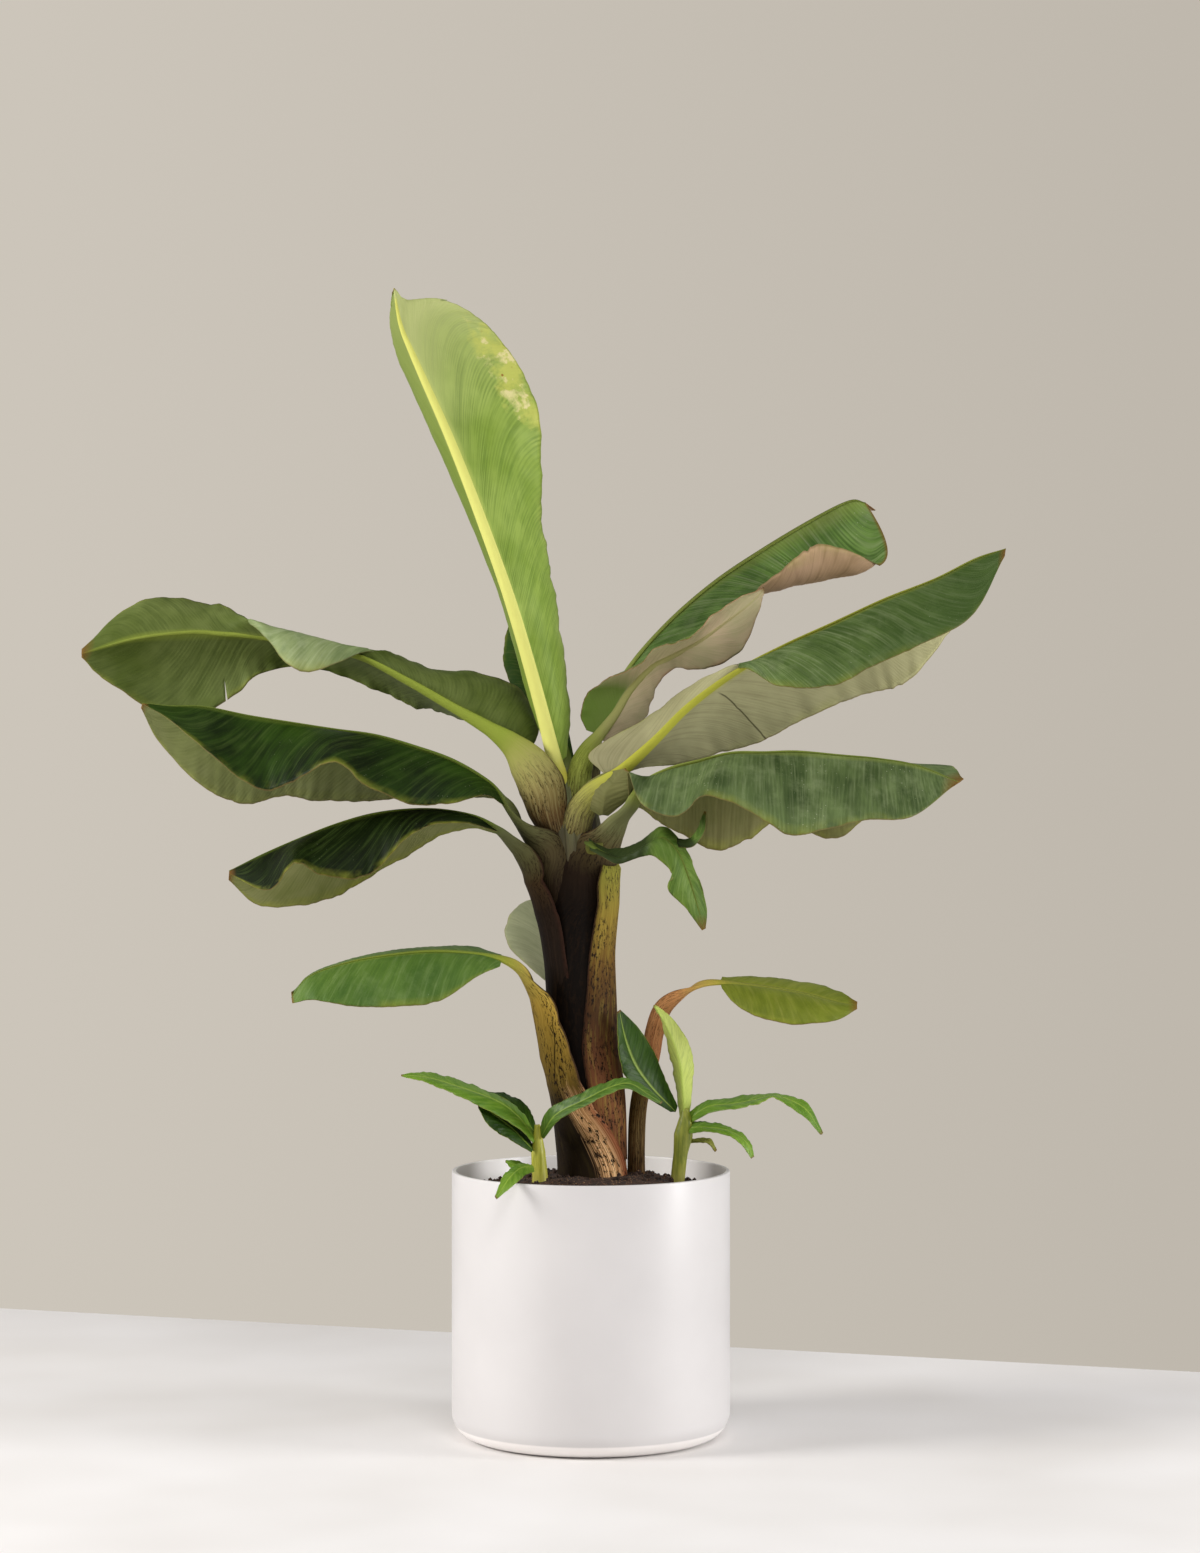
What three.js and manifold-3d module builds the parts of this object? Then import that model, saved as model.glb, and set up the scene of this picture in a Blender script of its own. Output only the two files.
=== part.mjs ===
// A potted banana plant: a white pot filled with soil, a trunk of packed leaf bases,
// thirteen leaves that grew as one piece each, and two young side shoots.
// Millimetres, +Z up. The origin is the centre of the pot's flat underside.
import * as THREE from 'three';
import { mergeVertices } from 'three/addons/utils/BufferGeometryUtils.js';
import Module from 'manifold-3d';

const wasm = await Module();
wasm.setup();

// Pot
const potRadius = 152.5;
const potHeight = 291;
const potWall = 5;
const potBase = 8;
const potCornerRadius = 28;
const potSides = 36;
const cornerSteps = 3;

// Soil
const soilEdgeHeight = 264;
const soilCrownHeight = 286;
const soilCrownRadius = 52;
const soilSwell = 1;

// Clearance left where one piece is cut round another
const fitGap = 0.3;

// How much wider a grown sheet is, as a share of its width for each millimetre of growth
const marginReach = 0.1;

// Leaves: sheet thickness, the ridge of the midrib at its base, and how finely each is drawn
const mainBlade = { thickness: 2, acrossSteps: 6, stepsPerStation: 1.5 };
const shootBlade = { thickness: 1.6, midrib: 1, acrossSteps: 4, stepsPerStation: 1.5 };
const stalkSides = 8;
const stalkStepsPerPoint = 1.5;

// The stalk's radius under the blade's first stretch, as shares of its radius at the blade
const stalkTaper = [0.7, 0.3];

// Shares of a sheet over which its slope is measured, along it and across it
const alongReach = 0.02;
const acrossReach = 0.08;

// Two points closer than this are one point
const mergeTolerance = 1e-4;
const nearZero = 1e-3;

// Trunk: centre line from below the soil to the crown, and its radius at each point
const trunkLine = [
  [6, 0, 242], [6, 0, 278], [-2, 0, 368], [-9, 0, 426], [-11, 0, 502],
  [-13, 0, 590], [-19, 0, 664], [-23, 0, 708], [-25, 0, 732],
];
const trunkRadii = [38, 37, 38, 36, 36, 38, 36, 28, 16];
const trunkSides = 20;
const trunkSteps = trunkLine.length + 1;

// Side shoots: stem centre lines and radii
const shootStemSteps = 6;
const shootStems = {
  left_pup_stem: {
    colour: 0xa8b848,
    line: [[-56, -42, 247], [-55, -42, 282], [-57, -44, 315], [-58, -46, 337]],
    radii: [8, 8.8, 8, 3],
  },
  right_pup_stem: {
    colour: 0xa2b544,
    line: [[93, -12, 243], [95, -12, 279], [97, -14, 314], [102, -16, 349]],
    radii: [7, 6, 8, 3.5],
  },
};

// Colour and roughness of the pieces that are not leaves or stems
const potFinish = [0xe6e0de, 0.35];
const trunkFinish = [0x4a3020, 0.7];
const soilFinish = [0x2d1c14, 0.95];
const plantRoughness = 0.5;

// Each leaf is a sheet drawn through lines that run from its base to its tip: the midrib,
// the margin of the near half and the margin of the far half. Some have a line between too,
// where the sheet rolls over. The stalk leads from the trunk to the midrib's base.
const leaves = {
  leaf_top: {
    colour: 0x7fa654,
    stalk: [[-25, -6, 664], [-31, -10, 697], [-37, -16, 730]],
    stalkRadii: [13, 12, 9],
    rib: [
      [-37, -16, 730], [-54, -36, 799], [-85, -56, 907], [-118, -60, 1000], [-152, -54, 1087],
      [-191, -40, 1175], [-207, -30, 1214], [-215, -20, 1255],
    ],
    near: [
      [-27, -12, 744], [-24, -6, 800], [-38, 5, 910], [-54, 12, 1005], [-58, 5, 1123],
      [-98, 0, 1200], [-149, -6, 1240], [-200, -14, 1240], [-213, -18, 1252],
    ],
    nearMid: [
      [-32, -16, 739], [-35, -32, 799], [-54, -38, 908], [-81, -38, 1001], [-113, -28, 1122],
      [-156, -16, 1200], [-187, -18, 1232], [-205, -19, 1241], [-214, -19, 1254],
    ],
    far: [
      [-42, -10, 736], [-60, 0, 800], [-88, 24, 911], [-119, 40, 1011], [-155, 48, 1096],
      [-195, 44, 1165], [-213, 28, 1207], [-218, -8, 1231], [-217, -22, 1250],
    ],
    farMid: [
      [-40, -14, 734], [-67, -18, 806], [-98, -18, 915], [-136, -12, 1012], [-177, -2, 1105],
      [-211, 5, 1182], [-219, 0, 1221], [-217, -14, 1239], [-216, -21, 1252],
    ],
  },
  leaf_left_upper: {
    colour: 0x5d7f45,
    stalk: [[-32, -24, 637], [-42, -32, 678], [-64, -32, 728], [-86, -25, 757]],
    stalkRadii: [20, 19, 15, 9],
    rib: [
      [-86, -25, 757], [-110, -22, 774], [-149, -12, 797], [-199, 0, 826], [-254, 12, 854],
      [-316, 25, 868], [-369, 35, 877], [-406, 40, 880], [-445, 42, 882], [-506, 40, 875],
      [-564, 35, 858],
    ],
    near: [
      [-67, -10, 749], [-59, 5, 776], [-87, 25, 825], [-179, 40, 843], [-241, 10, 860],
      [-315, -28, 836], [-366, 10, 884], [-400, 60, 907], [-433, 80, 917], [-505, 75, 918],
      [-564, 37, 863],
    ],
    nearMid: [
      [-75, -22, 760], [-78, -10, 790], [-113, 0, 814], [-185, 15, 839], [-247, 8, 862],
      [-313, 0, 876], [-368, 15, 893], [-403, 45, 896], [-438, 55, 902], [-504, 55, 902],
      [-564, 36, 861],
    ],
    far: [
      [-93, -10, 749], [-121, 30, 776], [-162, 60, 793], [-199, 60, 801], [-244, 60, 821],
      [-313, 60, 844], [-367, 60, 837], [-396, 55, 814], [-454, 45, 783], [-533, 38, 825],
      [-564, 35, 854],
    ],
    farMid: [
      [-89, -18, 751], [-113, 5, 773], [-155, 30, 794], [-199, 40, 813], [-250, 45, 838],
      [-315, 50, 855], [-369, 55, 857], [-402, 60, 848], [-450, 60, 834], [-521, 50, 850],
      [-564, 35, 856],
    ],
  },
  leaf_left_middle: {
    colour: 0x2f5a20,
    stalk: [[-38, -24, 610], [-49, -28, 648], [-68, -34, 671], [-90, -41, 695]],
    stalkRadii: [16, 14, 11, 7],
    rib: [
      [-90, -41, 695], [-108, -45, 716], [-147, -46, 740], [-191, -44, 756], [-234, -40, 768],
      [-278, -35, 774], [-322, -28, 781], [-372, -18, 789], [-423, -8, 799], [-462, 2, 800],
      [-493, 8, 803],
    ],
    near: [
      [-93, -48, 691], [-115, -70, 702], [-151, -85, 693], [-193, -95, 693], [-237, -110, 712],
      [-274, -130, 738], [-318, -108, 716], [-356, -95, 709], [-407, -80, 745], [-454, -45, 782],
      [-492, 7, 802],
    ],
    far: [
      [-88, -30, 693], [-108, -8, 699], [-145, 20, 699], [-189, 35, 701], [-248, 50, 695],
      [-302, 55, 695], [-341, 55, 700], [-391, 60, 692], [-435, 50, 714], [-477, 35, 759],
      [-495, 12, 798],
    ],
  },
  leaf_left_lower: {
    colour: 0x2a4f1c,
    stalk: [[-38, -24, 479], [-46, -27, 545], [-55, -31, 599], [-75, -42, 643], [-98, -50, 667]],
    stalkRadii: [16, 17, 15, 11, 8],
    rib: [
      [-98, -50, 667], [-125, -55, 680], [-163, -58, 687], [-201, -60, 687], [-238, -60, 682],
      [-276, -58, 671], [-314, -55, 656], [-354, -50, 639], [-392, -45, 620],
    ],
    near: [
      [-101, -58, 663], [-134, -78, 672], [-172, -95, 670], [-203, -108, 650], [-240, -108, 615],
      [-286, -115, 617], [-312, -128, 631], [-344, -105, 601], [-392, -46, 617],
    ],
    far: [
      [-101, -35, 660], [-132, -10, 666], [-166, 10, 656], [-205, 20, 634], [-249, 25, 608],
      [-288, 25, 587], [-324, 20, 580], [-365, 0, 581], [-393, -42, 610],
    ],
  },
  leaf_left_bottom: {
    colour: 0x4d8a3a,
    stalk: [
      [23, -26, 287], [-8, -30, 358], [-34, -33, 425], [-55, -42, 489], [-75, -50, 518],
      [-96, -52, 526],
    ],
    stalkRadii: [23, 20, 15, 12, 8, 5],
    rib: [
      [-96, -52, 526], [-125, -60, 532], [-168, -70, 535], [-210, -78, 532], [-258, -85, 524],
      [-301, -92, 509], [-320, -95, 486],
    ],
    near: [
      [-98, -58, 517], [-121, -85, 508], [-161, -108, 483], [-202, -122, 478], [-255, -128, 479],
      [-295, -120, 485], [-319, -97, 480],
    ],
    far: [
      [-97, -38, 529], [-130, -12, 536], [-172, 8, 529], [-216, 12, 523], [-265, 8, 513],
      [-304, -30, 503], [-320, -90, 492],
    ],
  },
  leaf_rear: {
    colour: 0x8f9a80,
    stalk: [[-12, 28, 376], [-21, 34, 431], [-30, 48, 474]],
    stalkRadii: [12, 10, 6],
    rib: [
      [-30, 48, 474], [-37, 72, 495], [-43, 98, 518], [-47, 122, 542], [-50, 140, 565],
      [-52, 152, 585],
    ],
    near: [
      [-39, 52, 485], [-71, 85, 510], [-93, 108, 531], [-96, 128, 555], [-81, 142, 577],
      [-53, 152, 585],
    ],
    far: [
      [-19, 54, 483], [-1, 90, 508], [10, 112, 531], [10, 130, 558], [-11, 144, 579],
      [-49, 152, 585],
    ],
  },
  leaf_rear_upper: {
    colour: 0x2f5f28,
    stalk: [[-19, 14, 675], [-22, 20, 708], [-25, 28, 735]],
    stalkRadii: [10, 8, 6],
    rib: [
      [-25, 28, 735], [-39, 58, 786], [-52, 90, 827], [-61, 118, 861], [-68, 142, 889],
      [-72, 160, 915],
    ],
    near: [
      [-34, 28, 739], [-66, 56, 788], [-92, 88, 829], [-99, 116, 863], [-93, 142, 894],
      [-74, 160, 915],
    ],
    far: [
      [-18, 30, 739], [-28, 60, 790], [-35, 92, 831], [-42, 120, 866], [-50, 144, 894],
      [-71, 160, 915],
    ],
  },
  leaf_right_top: {
    colour: 0x3f7f3c,
    stalk: [[-3, 22, 664], [1, 34, 719], [10, 52, 780]],
    stalkRadii: [12, 9, 7],
    rib: [
      [10, 52, 780], [38, 62, 838], [81, 74, 890], [135, 84, 938], [194, 90, 978], [251, 90, 1012],
      [290, 86, 1031], [308, 84, 1029],
    ],
    near: [
      [14, 40, 769], [54, 30, 816], [104, 22, 860], [162, 18, 911], [214, 8, 954], [246, 6, 977],
      [281, 12, 972], [319, 30, 955],
    ],
    nearMid: [
      [12, 46, 774], [48, 46, 828], [94, 48, 874], [156, 46, 915], [214, 40, 932], [260, 36, 941],
      [305, 42, 954], [329, 52, 980],
    ],
    far: [
      [10, 60, 777], [41, 84, 831], [87, 104, 879], [141, 120, 922], [200, 130, 961],
      [257, 132, 997], [300, 122, 1022], [320, 96, 1022],
    ],
  },
  leaf_right_top_inner: {
    colour: 0x9aa382,
    stalk: [[-15, -10, 664], [-13, -10, 708], [-5, -6, 743], [9, 0, 768]],
    stalkRadii: [13, 13, 10, 7],
    rib: [
      [9, 0, 768], [26, 2, 790], [43, 2, 817], [67, 0, 842], [89, -4, 854], [119, -8, 870],
      [148, -10, 891], [172, -11, 909], [189, -12, 927],
    ],
    near: [
      [16, 8, 758], [43, 14, 774], [62, 14, 789], [71, 10, 820], [89, 6, 839], [126, 4, 841],
      [166, 0, 861], [183, -6, 903], [190, -11, 926],
    ],
    far: [
      [-5, -6, 773], [-12, -14, 793], [1, -22, 817], [43, -28, 841], [73, -32, 862], [99, -32, 870],
      [132, -28, 896], [160, -20, 917], [189, -13, 929],
    ],
  },
  leaf_right_upper: {
    colour: 0x4a7f4c,
    stalk: [[-16, -22, 636], [-12, -30, 671], [1, -40, 702], [23, -47, 719]],
    stalkRadii: [15, 14, 12, 9],
    rib: [
      [23, -47, 719], [38, -50, 732], [69, -54, 761], [107, -56, 799], [156, -58, 835],
      [210, -58, 865], [264, -56, 890], [318, -52, 915], [373, -46, 937], [417, -40, 959],
      [451, -36, 970],
    ],
    near: [
      [10, -42, 729], [0, -36, 749], [61, -25, 786], [103, -25, 817], [159, -60, 840],
      [200, -105, 819], [255, -112, 818], [300, -108, 839], [350, -98, 862], [410, -75, 895],
      [449, -42, 962],
    ],
    far: [
      [34, -38, 725], [56, -30, 732], [89, 0, 735], [136, 20, 746], [192, 32, 763], [253, 36, 794],
      [309, 36, 815], [347, 30, 825], [382, 15, 864], [421, -5, 918], [449, -32, 967],
    ],
  },
  leaf_right_middle: {
    colour: 0x4f8056,
    stalk: [
      [-8, -16, 479], [-9, -22, 555], [-1, -32, 610], [12, -42, 648], [28, -50, 678], [43, -57, 694],
    ],
    stalkRadii: [14, 17, 19, 18, 14, 11],
    rib: [
      [43, -57, 694], [58, -66, 715], [83, -71, 731], [116, -75, 740], [151, -78, 748],
      [187, -78, 749], [222, -76, 750], [268, -70, 746], [312, -62, 742], [354, -54, 734],
      [400, -44, 716],
    ],
    near: [
      [41, -66, 697], [40, -82, 728], [55, -98, 692], [91, -124, 680], [120, -140, 702],
      [166, -142, 686], [209, -140, 661], [245, -132, 665], [291, -122, 676], [343, -100, 679],
      [395, -50, 714],
    ],
    far: [
      [47, -46, 691], [60, -26, 684], [76, -8, 671], [103, 8, 657], [137, 18, 641], [170, 24, 650],
      [206, 26, 672], [270, 24, 654], [323, 14, 697], [386, -12, 734], [405, -38, 720],
    ],
  },
  leaf_right_curled: {
    colour: 0x55804a,
    stalk: [
      [16, -18, 359], [15, -22, 479], [19, -24, 566], [23, -36, 610], [14, -54, 637], [-2, -66, 651],
    ],
    stalkRadii: [15, 16, 15, 12, 7, 4],
    rib: [
      [-2, -66, 651], [14, -80, 641], [33, -92, 635], [58, -100, 647], [76, -104, 657],
      [93, -106, 642], [104, -106, 617], [113, -104, 588], [121, -100, 559],
    ],
    near: [
      [-1, -72, 643], [13, -94, 636], [29, -106, 629], [52, -112, 636], [68, -116, 637],
      [85, -118, 620], [82, -118, 602], [101, -112, 582], [119, -101, 558],
    ],
    far: [
      [-2, -58, 656], [12, -64, 647], [28, -70, 643], [55, -78, 652], [75, -84, 666],
      [100, -88, 650], [110, -92, 627], [124, -96, 585], [123, -99, 560],
    ],
  },
  leaf_right_bottom: {
    colour: 0x8a8f3a,
    stalk: [
      [51, 18, 250], [50, 18, 311], [53, 15, 369], [67, 8, 424], [78, 2, 462], [98, -5, 484],
      [119, -11, 496], [141, -15, 498],
    ],
    stalkRadii: [10, 10, 9, 9, 9, 7.5, 6, 4],
    rib: [
      [141, -15, 498], [168, -20, 496], [201, -26, 492], [238, -32, 485], [268, -37, 477],
      [289, -40, 474],
    ],
    near: [
      [143, -22, 491], [158, -44, 474], [185, -60, 461], [225, -68, 455], [265, -60, 459],
      [289, -42, 470],
    ],
    far: [
      [144, -4, 503], [171, 12, 502], [204, 18, 497], [243, 12, 494], [268, -8, 488],
      [289, -38, 478],
    ],
  },};

// The leaves of the side shoots have no stalk of their own
const shootLeaves = {
  left_pup_long_leaf: {
    colour: 0x6a9a3a,
    rib: [
      [-59, -46, 329], [-77, -55, 354], [-101, -65, 373], [-145, -75, 390], [-178, -82, 400],
      [-203, -88, 402],
    ],
    near: [
      [-62, -52, 326], [-81, -70, 346], [-119, -86, 369], [-151, -94, 385], [-179, -92, 396],
      [-203, -88, 401],
    ],
    far: [
      [-60, -38, 332], [-73, -36, 356], [-96, -44, 374], [-141, -55, 394], [-177, -68, 404],
      [-203, -87, 403],
    ],
  },
  left_pup_upper_leaf: {
    colour: 0x3f8030,
    rib: [[-60, -40, 335], [-75, -30, 355], [-93, -20, 370], [-113, -12, 377]],
    near: [[-62, -42, 335], [-83, -42, 354], [-101, -32, 366], [-113, -13, 376]],
    far: [[-58, -34, 337], [-68, -18, 361], [-89, -8, 374], [-113, -11, 378]],
  },
  left_pup_lower_leaf: {
    colour: 0x3f8030,
    rib: [[-62, -50, 318], [-81, -60, 339], [-101, -68, 356], [-121, -74, 369]],
    near: [[-64, -54, 316], [-89, -74, 333], [-109, -80, 347], [-121, -75, 366]],
    far: [[-62, -42, 322], [-78, -44, 345], [-98, -52, 362], [-121, -72, 371]],
  },
  left_pup_arching_leaf: {
    colour: 0x6a9a3a,
    rib: [
      [-54, -48, 332], [-38, -70, 358], [-6, -86, 376], [21, -93, 390], [42, -96, 394],
      [61, -96, 383], [76, -94, 373],
    ],
    near: [
      [-51, -50, 330], [-33, -78, 354], [-3, -98, 372], [22, -104, 385], [41, -104, 389],
      [59, -102, 380], [75, -95, 372],
    ],
    far: [
      [-56, -46, 340], [-46, -62, 363], [-16, -76, 380], [17, -84, 395], [41, -89, 399],
      [64, -90, 386], [77, -93, 374],
    ],
  },
  left_pup_rim_leaf: {
    colour: 0x6a9a3a,
    rib: [[-61, -56, 300], [-73, -100, 305], [-85, -138, 299], [-99, -165, 280]],
    near: [[-61, -58, 295], [-69, -102, 297], [-78, -140, 293], [-98, -165, 279]],
    far: [[-64, -56, 303], [-79, -98, 308], [-93, -136, 299], [-100, -165, 282]],
  },
  left_pup_bud_leaf: {
    colour: 0x6a9a3a,
    rib: [[-66, -36, 295], [-79, -44, 300], [-92, -50, 306]],
    near: [[-67, -40, 292], [-82, -52, 295], [-92, -51, 305]],
    far: [[-65, -32, 298], [-78, -38, 305], [-92, -49, 307]],
  },
  right_pup_broad_leaf: {
    colour: 0x2f6a26,
    rib: [[93, -16, 356], [67, -24, 383], [49, -30, 408], [38, -34, 436], [31, -36, 468]],
    near: [[87, -18, 356], [53, -34, 379], [36, -42, 400], [30, -44, 430], [29, -37, 467]],
    far: [[95, -12, 362], [82, -14, 391], [69, -20, 422], [51, -28, 450], [32, -35, 469]],
  },
  right_pup_spear_leaf: {
    colour: 0x9ab84a,
    rib: [[102, -16, 345], [100, -24, 381], [96, -28, 414], [84, -31, 447], [69, -32, 474]],
    near: [[98, -12, 347], [93, -10, 386], [86, -14, 420], [77, -24, 457], [68, -31, 473]],
    far: [[107, -12, 349], [111, -10, 386], [110, -14, 422], [92, -25, 455], [71, -32, 474]],
  },
  right_pup_long_leaf: {
    colour: 0x6a9a3a,
    rib: [
      [108, -16, 349], [128, -26, 363], [154, -36, 367], [178, -43, 372], [198, -48, 377],
      [219, -52, 371], [235, -56, 360], [250, -60, 336],
    ],
    near: [
      [110, -20, 345], [132, -38, 358], [157, -52, 363], [179, -62, 369], [198, -64, 376],
      [217, -62, 364], [233, -62, 353], [248, -61, 336],
    ],
    far: [
      [107, -12, 355], [124, -14, 367], [152, -20, 372], [177, -24, 376], [199, -32, 377],
      [221, -42, 375], [237, -50, 366], [251, -59, 338],
    ],
  },
  right_pup_lower_leaf: {
    colour: 0x3f8030,
    rib: [[107, -20, 339], [125, -32, 341], [150, -42, 338], [168, -48, 327], [175, -52, 310]],
    near: [[107, -24, 333], [125, -42, 337], [148, -52, 334], [164, -55, 323], [174, -53, 309]],
    far: [[108, -14, 345], [127, -22, 346], [152, -32, 341], [172, -41, 328], [177, -51, 311]],
  },
  right_pup_dry_leaf: {
    colour: 0x9a8a4a,
    rib: [[107, -8, 324], [118, -10, 324], [130, -12, 323], [137, -14, 313]],
    near: [[107, -10, 321], [118, -14, 322], [128, -16, 321], [136, -15, 312]],
    far: [[107, -6, 326], [119, -5, 326], [132, -8, 325], [138, -13, 314]],
  },};

// How far a sheet bulges between midrib and margin where no line between is given
const nearBulge = new THREE.Vector3(0, -5, 6);
const farBulge = new THREE.Vector3(0, 5, 6);

function curveThrough(points) {
  return new THREE.CatmullRomCurve3(points.map((p) => new THREE.Vector3(...p)));
}

// A piecewise straight value along a list, read at a share from 0 to 1
function valueAlong(values, share) {
  const place = share * (values.length - 1);
  const index = Math.min(Math.floor(place), values.length - 2);
  return THREE.MathUtils.lerp(values[index], values[index + 1], place - index);
}

// A closed geometry as a solid, without the collapsed faces of poles and points
function toSolid(geometry) {
  const shape = geometry.clone();
  shape.deleteAttribute('normal');
  shape.deleteAttribute('uv');
  const merged = mergeVertices(shape, mergeTolerance);
  const corners = Array.from(merged.index.array);
  const kept = [];
  for (let i = 0; i < corners.length; i += 3) {
    const [a, b, c] = corners.slice(i, i + 3);
    if (a !== b && b !== c && c !== a) {
      kept.push(a, b, c);
    }
  }
  return new wasm.Manifold(new wasm.Mesh({
    numProp: 3,
    vertProperties: Float32Array.from(merged.attributes.position.array),
    triVerts: Uint32Array.from(kept),
  }));
}

function toGeometry(solid) {
  const mesh = solid.getMesh();
  const geometry = new THREE.BufferGeometry();
  geometry.setAttribute('position', new THREE.BufferAttribute(mesh.vertProperties, 3));
  geometry.setIndex(new THREE.BufferAttribute(mesh.triVerts, 1));
  geometry.computeVertexNormals();
  return geometry;
}

// The largest body of a solid, once cutting has left crumbs beside it
function largestBody(solid) {
  const bodies = solid.decompose();
  return bodies.reduce((best, body) => (body.volume() > best.volume() ? body : best));
}

// A round rod bent along a line, with its own radius at each place
function bentRod(line, radii, sides, steps, grow) {
  const curve = curveThrough(line);
  const geometry = new THREE.CylinderGeometry(1, 1, 1, sides, steps);
  const position = geometry.attributes.position;
  const depth = new THREE.Vector3(0, 1, 0);
  for (let i = 0; i < position.count; i += 1) {
    const share = position.getY(i) + 0.5;
    const centre = curve.getPoint(share);
    const along = curve.getTangent(share);
    const outward = depth.clone().addScaledVector(along, -depth.dot(along)).normalize();
    const sideways = new THREE.Vector3().crossVectors(along, outward);
    const radius = valueAlong(radii, share) + grow;
    centre.addScaledVector(sideways, position.getX(i) * radius);
    centre.addScaledVector(outward, position.getZ(i) * radius);
    if (share < nearZero) {
      centre.addScaledVector(along, -grow);
    }
    position.setXYZ(i, centre.x, centre.y, centre.z);
  }
  return toSolid(geometry);
}

// The line halfway between midrib and margin, bulging most in the middle of the leaf
function betweenLine(rib, margin, bulge) {
  return rib.map((p, i) => {
    const swell = Math.sin((Math.PI * i) / (rib.length - 1));
    return [0, 1, 2].map((axis) => (p[axis] + margin[i][axis]) / 2 + bulge.getComponent(axis) * swell);
  });
}

// A leaf's sheet as a function of the share along it and the share across, from -1 to 1
function sheetOf(leaf) {
  const rib = curveThrough(leaf.rib);
  const near = curveThrough(leaf.near);
  const nearMid = curveThrough(leaf.nearMid ?? betweenLine(leaf.rib, leaf.near, nearBulge));
  const far = curveThrough(leaf.far);
  const farMid = curveThrough(leaf.farMid ?? betweenLine(leaf.rib, leaf.far, farBulge));
  return (along, across) => {
    const q = Math.abs(across);
    const margin = across < 0 ? near : far;
    const between = across < 0 ? nearMid : farMid;
    return new THREE.Vector3()
      .addScaledVector(rib.getPoint(along), 2 * (q - 0.5) * (q - 1))
      .addScaledVector(between.getPoint(along), -4 * q * (q - 1))
      .addScaledVector(margin.getPoint(along), 2 * q * (q - 0.5));
  };
}

// A sheet with thickness: a flat slab whose points are moved onto the sheet. Its lines crowd
// towards the midrib, where the sheet is thickened into a ridge that thins out to the tip.
function bladeSolid(leaf, size, grow) {
  const sheet = sheetOf(leaf);
  const alongSteps = Math.round(size.stepsPerStation * (leaf.rib.length - 1));
  const geometry = new THREE.BoxGeometry(1, 1, 1, alongSteps, size.acrossSteps, 1);
  const position = geometry.attributes.position;
  for (let i = 0; i < position.count; i += 1) {
    const along = position.getX(i) + 0.5;
    const spread = 2 * position.getY(i);
    const across = spread * Math.abs(spread) * (1 + grow * marginReach);
    const before = sheet(Math.max(along - alongReach, 0), across);
    const after = sheet(Math.min(along + alongReach, 1), across);
    const lower = sheet(along, across - acrossReach);
    const upper = sheet(along, across + acrossReach);
    const normal = after.sub(before).cross(upper.sub(lower)).normalize();
    const ridge = Math.abs(spread) < nearZero ? size.midrib * (1 - along) : 0;
    const lift = position.getZ(i) * (size.thickness + ridge + 2 * grow);
    const point = sheet(along, across).addScaledVector(normal, lift);
    position.setXYZ(i, point.x, point.y, point.z);
  }
  return toSolid(geometry);
}

// A main leaf: its blade, and its stalk, which tapers away under the blade's first stretch
function leafSolid(leaf, grow) {
  const stalkEnd = leaf.stalkRadii.at(-1);
  const size = { ...mainBlade, midrib: stalkEnd };
  const line = [...leaf.stalk, ...leaf.rib.slice(1, 1 + stalkTaper.length)];
  const radii = [...leaf.stalkRadii, ...stalkTaper.map((part) => part * stalkEnd)];
  const steps = Math.round(stalkStepsPerPoint * (line.length - 1));
  return bladeSolid(leaf, size, grow).add(bentRod(line, radii, stalkSides, steps, grow));
}

function potGeometry() {
  const inner = potRadius - potWall;
  const innerCorner = potCornerRadius - potWall;
  const outline = new THREE.Path();
  outline.moveTo(0, 0);
  outline.lineTo(potRadius - potCornerRadius, 0);
  outline.absarc(potRadius - potCornerRadius, potCornerRadius, potCornerRadius, -Math.PI / 2, 0, false);
  outline.lineTo(potRadius, potHeight);
  outline.lineTo(inner, potHeight);
  outline.lineTo(inner, potBase + innerCorner);
  outline.absarc(inner - innerCorner, potBase + innerCorner, innerCorner, 0, -Math.PI / 2, true);
  outline.lineTo(0, potBase);
  return new THREE.LatheGeometry(outline.getPoints(cornerSteps), potSides).rotateX(Math.PI / 2);
}

function soilSolid() {
  const radius = potRadius - potWall - fitGap;
  const floor = potBase + fitGap;
  const corner = potCornerRadius - potWall;
  const outline = new THREE.Path();
  outline.moveTo(0, floor);
  outline.lineTo(radius - corner, floor);
  outline.absarc(radius - corner, floor + corner, corner, -Math.PI / 2, 0, false);
  outline.lineTo(radius, soilEdgeHeight);
  outline.lineTo((radius + soilCrownRadius) / 2, (soilEdgeHeight + soilCrownHeight) / 2 + soilSwell);
  outline.lineTo(soilCrownRadius, soilCrownHeight);
  outline.lineTo(0, soilCrownHeight);
  return toSolid(new THREE.LatheGeometry(outline.getPoints(cornerSteps), potSides).rotateX(Math.PI / 2));
}

const group = new THREE.Group();

function place(name, geometry, colour, roughness) {
  const material = new THREE.MeshStandardMaterial({ color: colour, roughness, metalness: 0 });
  const mesh = new THREE.Mesh(geometry, material);
  mesh.name = name;
  group.add(mesh);
}

// Pieces are cut in turn: each makes room, by the fit gap, for those made before it
const grownPieces = [];

function placeCut(name, solid, grownSolid, colour, roughness) {
  const cut = grownPieces.reduce((rest, grown) => rest.subtract(grown), solid);
  grownPieces.push(grownSolid);
  place(name, toGeometry(largestBody(cut)), colour, roughness);
}

place('pot', potGeometry(), ...potFinish);

placeCut(
  'pseudostem',
  bentRod(trunkLine, trunkRadii, trunkSides, trunkSteps, 0),
  bentRod(trunkLine, trunkRadii, trunkSides, trunkSteps, fitGap),
  ...trunkFinish,
);

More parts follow.
